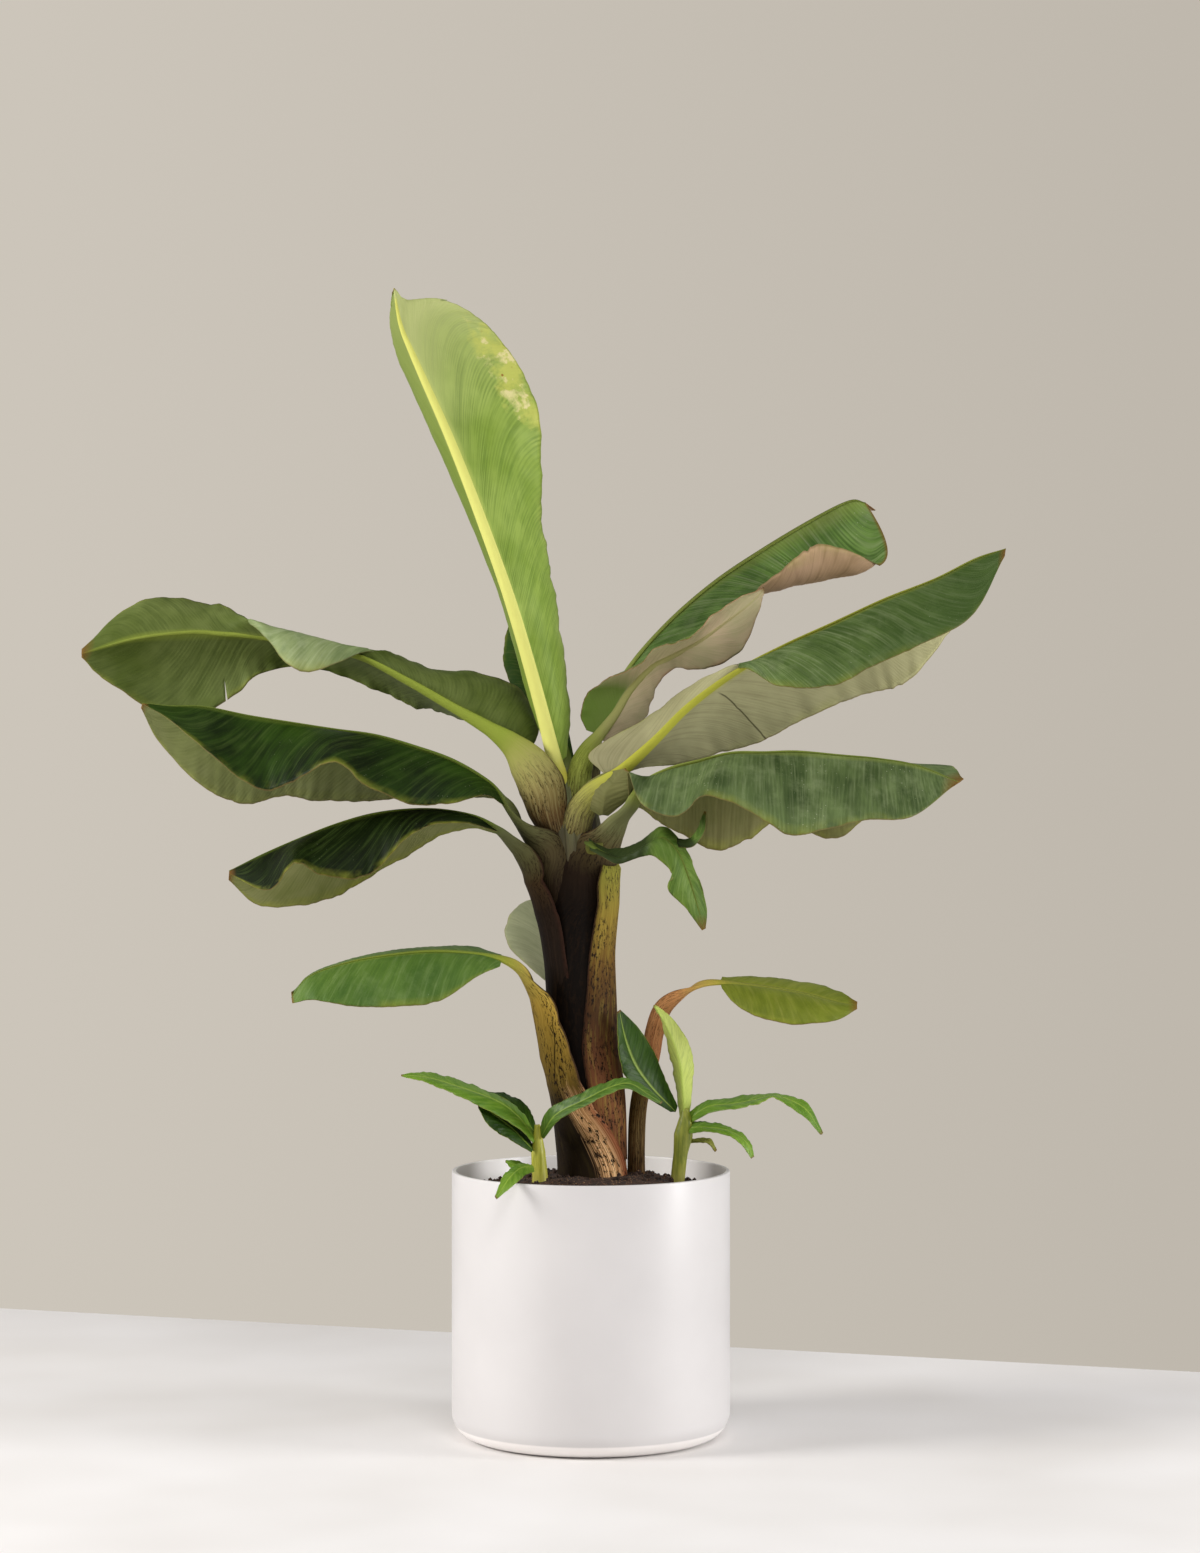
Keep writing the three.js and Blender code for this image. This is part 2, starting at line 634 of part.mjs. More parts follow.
for (const [name, stem] of Object.entries(shootStems)) {
  placeCut(
    name,
    bentRod(stem.line, stem.radii, stalkSides, shootStemSteps, 0),
    bentRod(stem.line, stem.radii, stalkSides, shootStemSteps, fitGap),
    stem.colour,
    plantRoughness,
  );
}

for (const [name, leaf] of Object.entries(leaves)) {
  placeCut(name, leafSolid(leaf, 0), leafSolid(leaf, fitGap), leaf.colour, plantRoughness);
}

for (const [name, leaf] of Object.entries(shootLeaves)) {
  placeCut(
    name,
    bladeSolid(leaf, shootBlade, 0),
    bladeSolid(leaf, shootBlade, fitGap),
    leaf.colour,
    plantRoughness,
  );
}

const soil = soilSolid();
placeCut('potting_soil', soil, soil, ...soilFinish);

export default group;
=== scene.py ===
# Banana plant in a white pot: thirteen grown leaves, a trunk of leaf bases and two young side shoots.
# Everything is in metres. +X is to the right, +Y away from the viewer, +Z up.
import math
import random
from types import SimpleNamespace

import bpy
import numpy as np
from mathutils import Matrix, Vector


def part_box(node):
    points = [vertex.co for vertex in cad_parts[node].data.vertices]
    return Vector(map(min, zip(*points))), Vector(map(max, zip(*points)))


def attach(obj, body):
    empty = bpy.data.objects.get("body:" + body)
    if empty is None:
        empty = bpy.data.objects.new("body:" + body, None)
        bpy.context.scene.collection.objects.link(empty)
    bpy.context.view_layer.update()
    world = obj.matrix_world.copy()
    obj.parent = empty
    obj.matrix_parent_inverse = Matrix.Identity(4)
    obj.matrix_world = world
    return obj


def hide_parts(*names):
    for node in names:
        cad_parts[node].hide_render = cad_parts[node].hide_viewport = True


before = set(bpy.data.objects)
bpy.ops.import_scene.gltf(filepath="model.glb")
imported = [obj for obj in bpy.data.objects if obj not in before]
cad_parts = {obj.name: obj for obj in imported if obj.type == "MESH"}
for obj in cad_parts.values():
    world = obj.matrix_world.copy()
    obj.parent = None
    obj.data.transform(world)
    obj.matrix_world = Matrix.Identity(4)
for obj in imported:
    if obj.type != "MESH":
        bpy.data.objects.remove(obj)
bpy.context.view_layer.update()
scene = bpy.context.scene


def linear(rgb):
    # an 0-255 colour as the shaders want it
    return tuple(v / 255 / 12.92 if v <= 10 else ((v / 255 + .055) / 1.055) ** 2.4 for v in rgb)


def tone(rgb):
    return (*linear(rgb), 1)


def deselectAll():
    if bpy.context.object and bpy.context.object.mode != "OBJECT":
        bpy.ops.object.mode_set(mode="OBJECT")
    bpy.ops.object.select_all(action="DESELECT")


def pick(*objects):
    deselectAll()
    for item in objects:
        item.select_set(True)
    bpy.context.view_layer.objects.active = objects[0]


def plug(tree, value, slot):
    if isinstance(value, Wire):
        tree.links.new(value.socket, slot)
    else:
        slot.default_value = value


class Wire:
    # a shader value that can be added, multiplied and so on
    def __init__(self, tree, socket):
        self.tree, self.socket = tree, socket

    def maths(self, operation, *others, clamp=False):
        node = self.tree.nodes.new("ShaderNodeMath")
        node.operation, node.use_clamp = operation, clamp
        for slot, value in zip(node.inputs, (self, *others)):
            plug(self.tree, value, slot)
        return Wire(self.tree, node.outputs[0])

    def __add__(self, other):
        return self.maths("ADD", other)

    def __sub__(self, other):
        return self.maths("SUBTRACT", other)

    def __rsub__(self, other):
        return self.maths("MULTIPLY_ADD", -1, other)

    def __mul__(self, other):
        return self.maths("MULTIPLY", other)

    def __truediv__(self, other):
        return self.maths("DIVIDE", other)

    def __pow__(self, other):
        return self.maths("POWER", other)

    def __abs__(self):
        return self.maths("ABSOLUTE")

    __radd__, __rmul__ = __add__, __mul__

    def sine(self):
        return self.maths("SINE")

    def clamped(self):
        return self.maths("ADD", 0, clamp=True)

    def over(self, low, high):
        # 0 at low, 1 at high, a straight ramp between and level outside
        return ((self - low) / (high - low)).clamped()


class Nodes:
    # adds nodes to one tree, each in one call
    def __init__(self, tree):
        self.tree = tree
        tree.nodes.clear()

    def node(self, kind, settings=None, sockets=None, output=0):
        made = self.tree.nodes.new("ShaderNode" + kind)
        for name, value in (settings or {}).items():
            if name == "stops":
                self.setStops(made.color_ramp.elements, value)
            else:
                setattr(made, name, value)
        for name, value in (sockets or {}).items():
            plug(self.tree, value, made.inputs[name])
        return Wire(self.tree, made.outputs[output]) if made.outputs else made

    def setStops(self, elements, stops):
        while len(elements) < len(stops):
            elements.new(.5)
        for element, (place, rgb) in zip(elements, stops):
            element.position, element.color = place, tone(rgb)

    def blend(self, share, first, second):
        # a colour is an 0-255 colour or another node's
        first, second = (c if isinstance(c, Wire) else tone(c) for c in (first, second))
        settings = {"data_type": "RGBA", "clamp_factor": True}
        return self.node("Mix", settings, {0: share, 6: first, 7: second}, output=2)

    def part(self, vector, axis):
        return self.node("SeparateXYZ", sockets={"Vector": vector}, output=axis)

    def at(self, x, y, z):
        return self.node("CombineXYZ", sockets={"X": x, "Y": y, "Z": z})

    def noise(self, where, scale, detail=2, rough=.5):
        sockets = {"Vector": where, "Scale": scale, "Detail": detail, "Roughness": rough}
        return self.node("TexNoise", sockets=sockets)

    def cells(self, where, scale):
        return self.node("TexVoronoi", sockets={"Vector": where, "Scale": scale})


class Finish(Nodes):
    # one material round a Principled surface
    def __init__(self, name):
        self.material = bpy.data.materials.new(name)
        self.material.use_nodes = True
        super().__init__(self.material.node_tree)
        surface = self.node("BsdfPrincipled")
        self.inputs = surface.socket.node.inputs
        self.node("OutputMaterial", sockets={"Surface": surface})

    def attribute(self, name):
        return self.node("Attribute", {"attribute_name": name}, output="Fac")

    def place(self):
        return self.node("TexCoord", output="Object")

    def tallPlace(self, squeeze):
        # object coordinates squeezed in height, so that a noise runs up the piece
        return self.node("Mapping", sockets={"Vector": self.place(), "Scale": (1, 1, squeeze)})

    def bump(self, height, strength, distance):
        return self.node("Bump", sockets={"Height": height, "Strength": strength, "Distance": distance})

    def show(self, **sockets):
        for name, value in sockets.items():
            plug(self.tree, value, self.inputs[name.replace("_", " ")])
        return self.material


# Each leaf is a sheet drawn through lines that run from its base to its tip: the midrib, the margin
# of the near half and the margin of the far half, with a line between where the sheet rolls over.
bladeHabit = {
    "rows": 150, "columns": 49,            # rows run across the leaf, columns along it
    "crowding": 1.15,                      # above 1, columns stand closer at the midrib
    "alongReach": .02, "acrossReach": .1,  # steps that the upper side's direction is measured over
    "thickness": .0008,
    "ragged": .015,                        # bites in the margin, as a share of the half width
    "waves": .004, "wavePitch": .07,
    "pleats": .00022, "pleatPitch": .008,
    "groove": .07,                         # half width of the midrib's groove, as a share
    "nearBulge": (0, -.005, .006), "farBulge": (0, .005, .006),
    "tears": (), "lobes": (),              # a tear: place along, side, start from the midrib, opening
    "front": (0, -1, 0),                   # which way the leaf base faces
}
tiny = 1e-9


def alongLine(points, shares):
    # a smooth curve through the points, read at shares from 0 to 1
    p = np.asarray(points, float)
    p = np.vstack([2 * p[0] - p[1], p, 2 * p[-1] - p[-2]])
    place = np.clip(np.asarray(shares, float), 0, 1) * (len(points) - 1)
    i = np.minimum(place.astype(int), len(points) - 2)
    t = (place - i)[..., None]
    a, b, c, d = p[i], p[i + 1], p[i + 2], p[i + 3]
    square, cube = 2 * a - 5 * b + 4 * c - d, 3 * b - a - 3 * c + d
    return .5 * (2 * b + (c - a) * t + square * t ** 2 + cube * t ** 3)


def alongValues(values, shares):
    return np.interp(shares, np.linspace(0, 1, len(values)), values)


def betweenLine(rib, margin, bulge):
    swell = np.sin(np.pi * np.linspace(0, 1, len(rib)))[:, None]
    return (np.asarray(rib, float) + np.asarray(margin, float)) / 2 + np.asarray(bulge) * swell


def sheetPoints(leaf, along, across):
    # across is -1 on the near margin, 0 on the midrib and 1 on the far margin
    rib = alongLine(leaf["rib"], along)
    points = np.zeros(rib.shape)
    q = np.abs(across)[..., None]
    for side, name in ((-1, "near"), (1, "far")):
        margin = alongLine(leaf[name], along)
        between = leaf.get(name + "Mid")
        if between is None:
            between = betweenLine(leaf["rib"], leaf[name], leaf[name + "Bulge"])
        between = alongLine(between, along)
        half = 2 * (q - .5) * (q - 1) * rib - 4 * q * (q - 1) * between + 2 * q * (q - .5) * margin
        points = np.where((across * side >= 0)[..., None], half, points)
    return points


def unit(vectors):
    return vectors / np.maximum(np.linalg.norm(vectors, axis=-1, keepdims=True), tiny)


def sheetNormals(leaf, along, across):
    # towards the leaf's upper side
    ahead, aside = leaf["alongReach"], leaf["acrossReach"]
    forward = sheetPoints(leaf, np.minimum(along + ahead, 1), across)
    forward = forward - sheetPoints(leaf, np.maximum(along - ahead, 0), across)
    sideways = sheetPoints(leaf, along, np.minimum(across + aside, 1))
    sideways = sideways - sheetPoints(leaf, along, np.maximum(across - aside, -1))
    return unit(np.cross(forward, sideways)) * leaf["upper"]


def wander(places, seed, octaves=3):
    # a smooth random line with values near -1 to 1
    rng = random.Random(seed)
    total = np.zeros(np.shape(places))
    for octave in range(octaves):
        phase, pace = rng.uniform(0, 6.3), rng.uniform(.8, 1.3) * 2 ** octave
        total += np.sin(np.asarray(places) * pace + phase) / 1.5 ** octave
    return total / 1.9


def gridPiece(name, rows, columns, points, attributes, wrap=False):
    # a primitive grid whose points are moved to their places, with what its finish reads
    deselectAll()
    bpy.ops.mesh.primitive_grid_add(x_subdivisions=columns - 1, y_subdivisions=rows - 1, size=1)
    piece = bpy.context.object
    piece.name = piece.data.name = name
    mesh = piece.data
    mesh.vertices.foreach_set("co", points.reshape(-1))
    for label, values in attributes.items():
        layer = mesh.attributes.new(label, "FLOAT", "POINT")
        layer.data.foreach_set("value", np.ascontiguousarray(values, dtype=np.float32).reshape(-1))
    if wrap:
        closeGrid()
    mesh.update()
    return piece


def closeGrid():
    # a grid wrapped into a tube: the seam is merged and both ends are filled
    bpy.ops.object.mode_set(mode="EDIT")
    bpy.ops.mesh.select_all(action="SELECT")
    bpy.ops.mesh.remove_doubles(threshold=1e-6)
    bpy.ops.mesh.select_all(action="DESELECT")
    bpy.ops.mesh.select_non_manifold(extend=False)
    bpy.ops.mesh.fill_holes(sides=0)
    bpy.ops.mesh.select_all(action="SELECT")
    bpy.ops.mesh.normals_make_consistent(inside=False)
    bpy.ops.object.mode_set(mode="OBJECT")


def runLength(points):
    steps = np.linalg.norm(np.diff(points, axis=0), axis=1)
    return np.concatenate([[0], np.cumsum(steps)])


def marginBites(leaf, run):
    # shallow bites everywhere and a few deeper nicks, for the near and the far margin
    ragged, seed = leaf["ragged"], leaf["node"]
    bites = []
    for side in (-1, 1):
        edge = wander(run * 150, seed + str(side), 4)
        nick = np.clip(wander(run * 70, seed + "nick" + str(side), 3) - .55, 0, 1)
        bites.append(ragged * (.5 + .5 * edge) + ragged * 6 * nick)
    return bites


def makeBlade(leaf):
    rows, columns, seed = leaf["rows"], leaf["columns"], leaf["node"]
    shares = np.linspace(0, 1, rows)
    ribRun = runLength(alongLine(leaf["rib"], shares))
    spread = np.linspace(-1, 1, columns)
    spread = np.sign(spread) * np.abs(spread) ** leaf["crowding"]
    along = np.repeat(shares[:, None], columns, axis=1)
    across = np.repeat(spread[None, :], rows, axis=0)
    cuts = []
    for share, side, depth, gap in leaf["tears"]:
        row = int(share * (rows - 1))
        opened = np.clip((across[row] * side - depth) / (1 - depth), 0, 1)
        shift = (1 / (rows - 1) - gap / ribRun[-1] * opened) / 2 * (across[row] * side > depth)
        along[row] += shift
        along[row + 1] -= shift
        cuts.append((row, side, depth))
    run = np.interp(along, shares, ribRun)
    q = np.abs(across)
    near, far = marginBites(leaf, run[:, 0])
    reach = across * (1 - np.where(across < 0, near[:, None], far[:, None]) * q ** 6)
    points = sheetPoints(leaf, along, reach)
    normals = sheetNormals(leaf, along, reach)
    # waves that grow towards the margin
    fade = np.sin(np.pi * np.clip(along, 0, 1)) ** .6
    for side in (-1, 1):
        wave = wander(run * (2 * math.pi / leaf["wavePitch"]), seed + "wave" + str(side), 3)
        lift = leaf["waves"] * wave * q ** 2.2 * fade * (across * side > 0)
        points += normals * lift[..., None]
    # pleats that follow the side veins
    vein = run - leaf["lean"] * q
    irregular = 1 + .5 * wander(vein * 90, seed + "pleat", 2)
    folds = np.sin(2 * math.pi * vein / leaf["pleatPitch"] + 2 * wander(vein * 40, seed, 2))
    points += normals * (leaf["pleats"] * folds * irregular * np.clip(q * 6, 0, 1) * fade)[..., None]
    # the sheet dips into the midrib's groove
    dip = leaf["ribWidth"] * (1 - along) * np.exp(-(q / leaf["groove"]) ** 2) * .5
    points -= normals * dip[..., None]
    values = {"along": run, "share": along, "across": across, "stalk": np.zeros(run.shape)}
    blade = gridPiece(leaf["node"] + "_blade", rows, columns, points, values)
    faceSides(blade, normals)
    for row, side, depth in cuts:
        cutSlit(blade, row, side, depth, spread)
    thickenBlade(blade, leaf["thickness"])
    return blade


def faceSides(blade, normals):
    # the grid's faces are turned to the leaf's upper side
    mesh = blade.data
    mesh.update()
    face = mesh.polygons[len(mesh.polygons) // 2]
    if np.dot(face.normal, normals.reshape(-1, 3)[face.vertices[0]]) < 0:
        mesh.flip_normals()


def selectFaces(piece, wanted):
    # leaves edit mode open with the wanted faces selected
    pick(piece)
    bpy.ops.object.mode_set(mode="EDIT")
    bpy.ops.mesh.select_mode(type="FACE")
    bpy.ops.mesh.select_all(action="DESELECT")
    bpy.ops.object.mode_set(mode="OBJECT")
    for face in piece.data.polygons:
        face.select = wanted(face)
    bpy.ops.object.mode_set(mode="EDIT")


def selectEdges(piece, wanted):
    # leaves edit mode open with the edges selected whose two ends are wanted
    pick(piece)
    bpy.ops.object.mode_set(mode="EDIT")
    bpy.ops.mesh.select_mode(type="EDGE")
    bpy.ops.mesh.select_all(action="DESELECT")
    bpy.ops.object.mode_set(mode="OBJECT")
    places = [v.co for v in piece.data.vertices]
    for edge in piece.data.edges:
        edge.select = all(wanted(places[i]) for i in edge.vertices)
    bpy.ops.object.mode_set(mode="EDIT")


def cutSlit(blade, row, side, depth, spread):
    def inSlit(face):
        rowsHere = {v // len(spread) for v in face.vertices}
        middle = np.mean([spread[v % len(spread)] for v in face.vertices])
        return bool(rowsHere == {row, row + 1} and middle * side > depth)

    selectFaces(blade, inSlit)
    bpy.ops.mesh.delete(type="FACE")
    bpy.ops.mesh.select_mode(type="VERT")
    bpy.ops.object.mode_set(mode="OBJECT")


def thickenBlade(blade, thickness):
    pick(blade)
    skin = len(blade.data.vertices)
    solidify = blade.modifiers.new("thickness", "SOLIDIFY")
    solidify.thickness = thickness
    solidify.offset = -1
    bpy.ops.object.modifier_apply(modifier=solidify.name)
    under = np.zeros(len(blade.data.vertices), dtype=np.float32)
    under[skin:] = 1
    blade.data.attributes.new("under", "FLOAT", "POINT").data.foreach_set("value", under)


rodHabit = {"sides": 48, "steps": 40, "stepsPerRow": 10, "thinWall": .0012}


def makeRod(name, rows, outward, steps, joint=1):
    # a leaf base swept along a line: each row gives a place, half width, half depth, how far it wraps
    # to the left and to the right of its outward side in degrees, and its wall in the middle
    shares = np.linspace(0, 1, steps)
    centre = alongLine([row[0] for row in rows], shares)
    forward = unit(np.gradient(centre, axis=0))
    out = outward(shares)
    out = unit(out - forward * np.sum(out * forward, axis=1, keepdims=True))
    side = np.cross(forward, out)
    measures = zip(*(row[1:] for row in rows))
    width, depth, left, right, wall = (alongValues(values, shares)[:, None] for values in measures)
    half = rodHabit["sides"] // 2
    turn = np.radians(-left + (left + right) * np.linspace(0, 1, half))
    edge = np.linspace(-1, 1, half) * np.ones((steps, 1))
    thin = np.minimum(wall, rodHabit["thinWall"])

    def ring(skin, lining):
        # out along the skin, back along the lining, and closed where it began
        return np.concatenate([skin, lining[:, ::-1], skin[:, :1]], axis=1)

    x = ring(width * np.sin(turn), (width - thin) * np.sin(turn))
    y = ring(depth * np.cos(turn), (depth - wall) * np.cos(turn))
    points = centre[:, None, :] + side[:, None, :] * x[..., None] + out[:, None, :] * y[..., None]
    run = runLength(centre)
    ones = np.ones(x.shape)
    values = {
        "along": (run - np.interp(joint, shares, run))[:, None] * ones,
        "share": shares[:, None] * ones,
        "across": ring(edge, edge),
        "stalk": ones,
        "under": ring(np.ones(edge.shape), np.zeros(edge.shape)),
    }
    return gridPiece(name, steps, x.shape[1], points, values, wrap=True)


def makeStalk(leaf):
    # the leaf base and stalk as listed, and then the midrib, which thins out to the tip
    stalk, rib = leaf["stalk"], leaf["rib"]
    joint = (len(stalk) - 1) / (len(stalk) + len(rib) - 2)
    base, last = leaf["ribWidth"], stalk[-1][1]
    rows = list(stalk)
    for index, place in enumerate(rib[1:], 1):
        share = index / (len(rib) - 1)
        size = base * (1 - share) ** .8 + (last - base) * math.exp(-14 * share) + .0006
        rows.append((place, size, .75 * size, 90, 90, .9 * size))

    def outward(shares):
        ribShare = np.clip((shares - joint) / (1 - joint), 0, 1)
        below = -sheetNormals(leaf, ribShare, np.zeros(len(shares)))
        turn = np.clip((shares - joint * .55) / (joint * .4), 0, 1)[:, None]
        return np.array(leaf["front"]) * (1 - turn) + below * turn

    steps = rodHabit["steps"] + rodHabit["stepsPerRow"] * len(rows)
    return makeRod(leaf["node"] + "_base", rows, outward, steps, joint)


lobeHabit = {
    "rows": 50, "columns": 31, "ribWidth": .0003, "tears": (), "waves": .0008,
    "nearMid": None, "farMid": None, "nearBulge": (0, 0, 0), "farBulge": (0, 0, 0),
}


def makeLobe(leaf, lobe):
    # a small part of the blade that folds back at its base
    part = makeBlade({**leaf, **lobeHabit, **lobe, "node": leaf["node"] + "_lobe"})
    layer = part.data.attributes["across"].data
    values = np.zeros(len(part.data.vertices), dtype=np.float32)
    layer.foreach_get("value", values)
    values = np.where(values < 0, -.3 + .7 * values, .3 * (1 - values) - .6)
    layer.foreach_set("value", values.astype(np.float32))
    return part


def joinPieces(name, parts):
    pick(*parts)
    if len(parts) > 1:
        bpy.ops.object.join()
    piece = bpy.context.object
    piece.name = piece.data.name = name
    bpy.ops.object.shade_smooth()
    return piece


def settle(piece, material, node):
    piece.data.materials.clear()
    piece.data.materials.append(material)
    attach(piece, "root")
    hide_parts(node)


def growLeaf(shape, looks):
    leaf = {**bladeHabit, **shape}
    name = leaf["node"] + "_grown"
    parts = [makeBlade(leaf)]
    if "stalk" in leaf:
        parts.append(makeStalk(leaf))
    parts.extend(makeLobe(leaf, lobe) for lobe in leaf["lobes"])
    settle(joinPieces(name, parts), leafFinish(leaf, looks, name + "_finish"), leaf["node"])


print("stage: finishes")
baseReach = .36          # how far down from the blade the leaf base's colours are given
veinPitch = .0042
plainLooks = {
    # how strongly each marking shows on the upper side, and then on the under side
    "streaks": .25, "bars": .4, "veins": .22, "smudge": .6, "dust": .3, "specks": .5,
    "underVeins": .2, "underStreaks": .16,
    "tired": .5, "tiredTone": (146, 150, 54),                    # the yellowed band by the margin
    "rim": .55, "edge": (150, 110, 62),                          # the dry rim
    "burn": .975,                                                # where the brown tip starts
    "paleFrom": .1, "paleTo": .9,                                # where underTip comes in
    "wing": (84, 48, 34), "wingFrom": .8, "spots": .85,          # the leaf base's edges and spots
    "rough": .5, "gloss": .22,
}
marks = {
    "speck": (196, 200, 170), "crease": (58, 52, 30), "burnt": (112, 78, 34), "seam": (46, 26, 16),
    "scar": (14, 10, 6), "spot": (28, 18, 10), "bleached": (226, 214, 160), "rust": (140, 88, 36),
    "footDark": (26, 17, 9), "footGold": (176, 126, 78), "footPale": (232, 192, 142),
    "footRed": (120, 50, 24),
}


def leafMaps(f, leaf):
    # where a point lies on the leaf, and the noises that its colours share
    names = ("along", "across", "under", "stalk", "share")
    run, across, under, stalk, share = (f.attribute(name) for name in names)
    q = abs(across)
    vein = run - q * leaf["lean"]
    side = across.over(-.02, .02)
    bands = f.noise(f.at(vein * 60, across * 1.3, under * 5 + side * 2), 1, 3, .55)
    ripple = ((vein * (2 * math.pi / veinPitch) + bands * 9).sine() + 1) * .5
    return SimpleNamespace(
        run=run, across=across, under=under, stalk=stalk, share=share, q=q, bands=bands,
        down=(0 - run) / baseReach,
        streaks=f.noise(f.at(vein * 520, across * 2.2, under * 7 + side * 3), 1, 4, .65),
        bars=f.noise(f.at(vein * 170, across * 1.2, under * 3 + side), 1, 3, .6),
        clouds=f.noise(f.place(), 13, 3, .6),
        ripple=ripple * f.noise(f.at(vein * 30, across * 5, side), 1, 2).over(.35, .6),
        grain=f.noise(f.at(run * 16, across * 14, under * 4), 1, 4, .62),
    )


def upperTone(f, m, looks):
    # lighter and darker along the veins, with a dusty bloom
    dark, light, bloom = looks["dark"], looks["light"], looks["bloom"]
    colour = f.blend(m.clouds.over(.35, .65), dark, light)
    colour = f.blend(m.bands.over(.45, .7) * .6, colour, light)
    colour = f.blend((1 - m.bands.over(.3, .42)) * looks["smudge"], colour, dark)
    colour = f.blend(m.streaks.over(.5, .78) * looks["streaks"], colour, bloom)
    colour = f.blend(m.bars.over(.52, .64) * looks["bars"], colour, dark)
    colour = f.blend(m.bars.over(.48, .36) * looks["bars"] * .6, colour, bloom)
    colour = f.blend(m.ripple * looks["veins"], colour, dark)
    dust = f.noise(f.place(), 30, 5, .72).over(.5, .8)
    colour = f.blend(dust * looks["dust"], colour, bloom)
    specks = (1 - f.cells(f.place(), 210).over(.05, .12)) * f.noise(f.place(), 19, 2).over(.54, .62)
    return f.blend(specks * looks["specks"], colour, marks["speck"])


def underTone(f, m, looks):
    # paler and greyer, flushed here and there
    flush, shade = looks["flush"], looks["shade"]
    colour = f.blend(m.clouds.over(.35, .65), looks["under"], flush)
    colour = f.blend(m.bands.over(.42, .72) * .3, colour, flush)
    colour = f.blend((1 - m.bands.over(.3, .42)) * .25, colour, shade)
    lines = m.ripple * looks["underVeins"] + m.streaks.over(.5, .75) * looks["underStreaks"]
    colour = f.blend(lines, colour, shade)
    return f.blend(m.bars.over(.52, .64) * looks["bars"] * .7, colour, shade)


def bladeTone(f, m, looks):
    def tipShare():
        return m.share.over(looks["paleFrom"], looks["paleTo"])

    colour = f.blend(m.under, upperTone(f, m, looks), underTone(f, m, looks))
    # lighter beside the midrib and tired towards the margin
    colour = f.blend((1 - m.q.over(.015, .1)) * .5, colour, looks["rib"])
    tired = m.q.over(.88, 1) * f.noise(f.place(), 26, 4, .6).over(.42, .66)
    colour = f.blend(tired * looks["tired"], colour, looks["tiredTone"])
    # areas with a colour of their own and the far half's painted shade, which only some leaves have
    areas = {
        "heart": lambda: (1 - m.share.over(.24, .34)) * m.across.over(0, .12) * .85,
        "start": lambda: (1 - m.share.over(.38, .5)) * (1 - m.under * .5),
        "tipTone": lambda: m.share.over(.5, .85) * (1 - m.under) * .65,
        "underTip": lambda: tipShare() * m.under * (m.streaks * .6 + .4),
        # painted shade: the far half is darkened where it turns away from the light
        "farPaintedShade": lambda: m.across.over(.01, .08) * .75,
    }
    for name, area in areas.items():
        if name in looks:
            colour = f.blend(area(), colour, looks[name])
    if "patch" in looks:
        colour = yellowPatch(f, m, colour, looks["patch"])
    if "crease" in looks:
        crease = looks["crease"]
        off = abs(m.run - m.across * crease["lean"] - crease["run"] + (m.clouds - .5) * .01)
        line = (1 - off.over(.0004, .0014)) * m.across.over(.1, .2)
        colour = f.blend(line * .8, colour, marks["crease"])
    colour = f.blend(m.q.over(.982, .994) * looks["rim"], colour, looks["edge"])
    burnt = m.share.over(looks["burn"], 1) * (m.clouds * .6 + .6)
    return f.blend(burnt, colour, marks["burnt"])


def yellowPatch(f, m, colour, patch):
    # a pale, yellowed area round one place on the blade, with small brown spots
    far = ((m.run - patch["run"]) / patch["long"]) ** 2
    far += ((m.across - patch["across"]) / patch["wide"]) ** 2
    mask = (.8 - far + (f.noise(f.place(), 30, 5, .62) - .5) * 5).over(0, .8)
    colour = f.blend(mask * .75, colour, patch["colour"])
    bleached = f.noise(f.place(), 52, 4, .6).over(.54, .6) * mask
    colour = f.blend(bleached * .8, colour, marks["bleached"])
    spots = (1 - f.cells(f.place(), 80).over(.08, .17)) * mask * f.noise(f.place(), 24, 2).over(.5, .56)
    return f.blend(spots * .9, colour, marks["rust"])


def rodTone(f, m, looks):
    # the midrib, and the leaf base from the blade down to the soil
    grain, down = m.grain, m.down
    colour = f.blend(m.share.over(.55, 1), looks["rib"], looks["ribTip"])
    stops = [(place / baseReach, rgb) for place, rgb in looks["base"]]
    base = f.node("ValToRGB", {"stops": stops}, {"Fac": down + (grain - .5) * .12})
    colour = f.blend(down.over(-.04, .01), colour, base)
    low = down.over(.04, .16)
    colour = f.blend(grain.over(.5, .68) * .35 * low, colour, looks["grain"])
    colour = f.blend(grain.over(.5, .34) * .3 * low, colour, looks["gleam"])
    colour = f.blend(m.q.over(looks["wingFrom"], .99) * low * .75, colour, looks["wing"])
    colour = f.blend(m.q.over(.965, .985) * down.over(.08, .14) * .8, colour, marks["seam"])
    if "scar" in looks:
        colour = longScar(f, m, colour, looks["scar"])
    if "fibre" in looks:
        colour = fibrousFoot(f, m, colour)
    spots = f.noise(f.at(m.run * 120, m.across * 20, m.under * 3), 1, 4, .75).over(.53, .56)
    spots = spots * f.noise(f.at(m.run * 22, m.across * 3, 2), 1, 2).over(.4, .5)
    return f.blend(spots * looks["spots"] * low, colour, marks["spot"])


def longScar(f, m, colour, scar):
    below = 0 - m.run
    drift = (f.noise(f.at(m.run * 60, 0, 0), 1, 2) - .5) * .1
    off = abs(m.across + drift - scar["across"] - (m.run + scar["from"]) * scar["slope"])
    reach = below.over(scar["from"], scar["from"] + .004) * (1 - below.over(scar["to"], scar["to"] + .004))
    return f.blend((1 - off.over(.006, .022)) * reach, colour, marks["scar"])


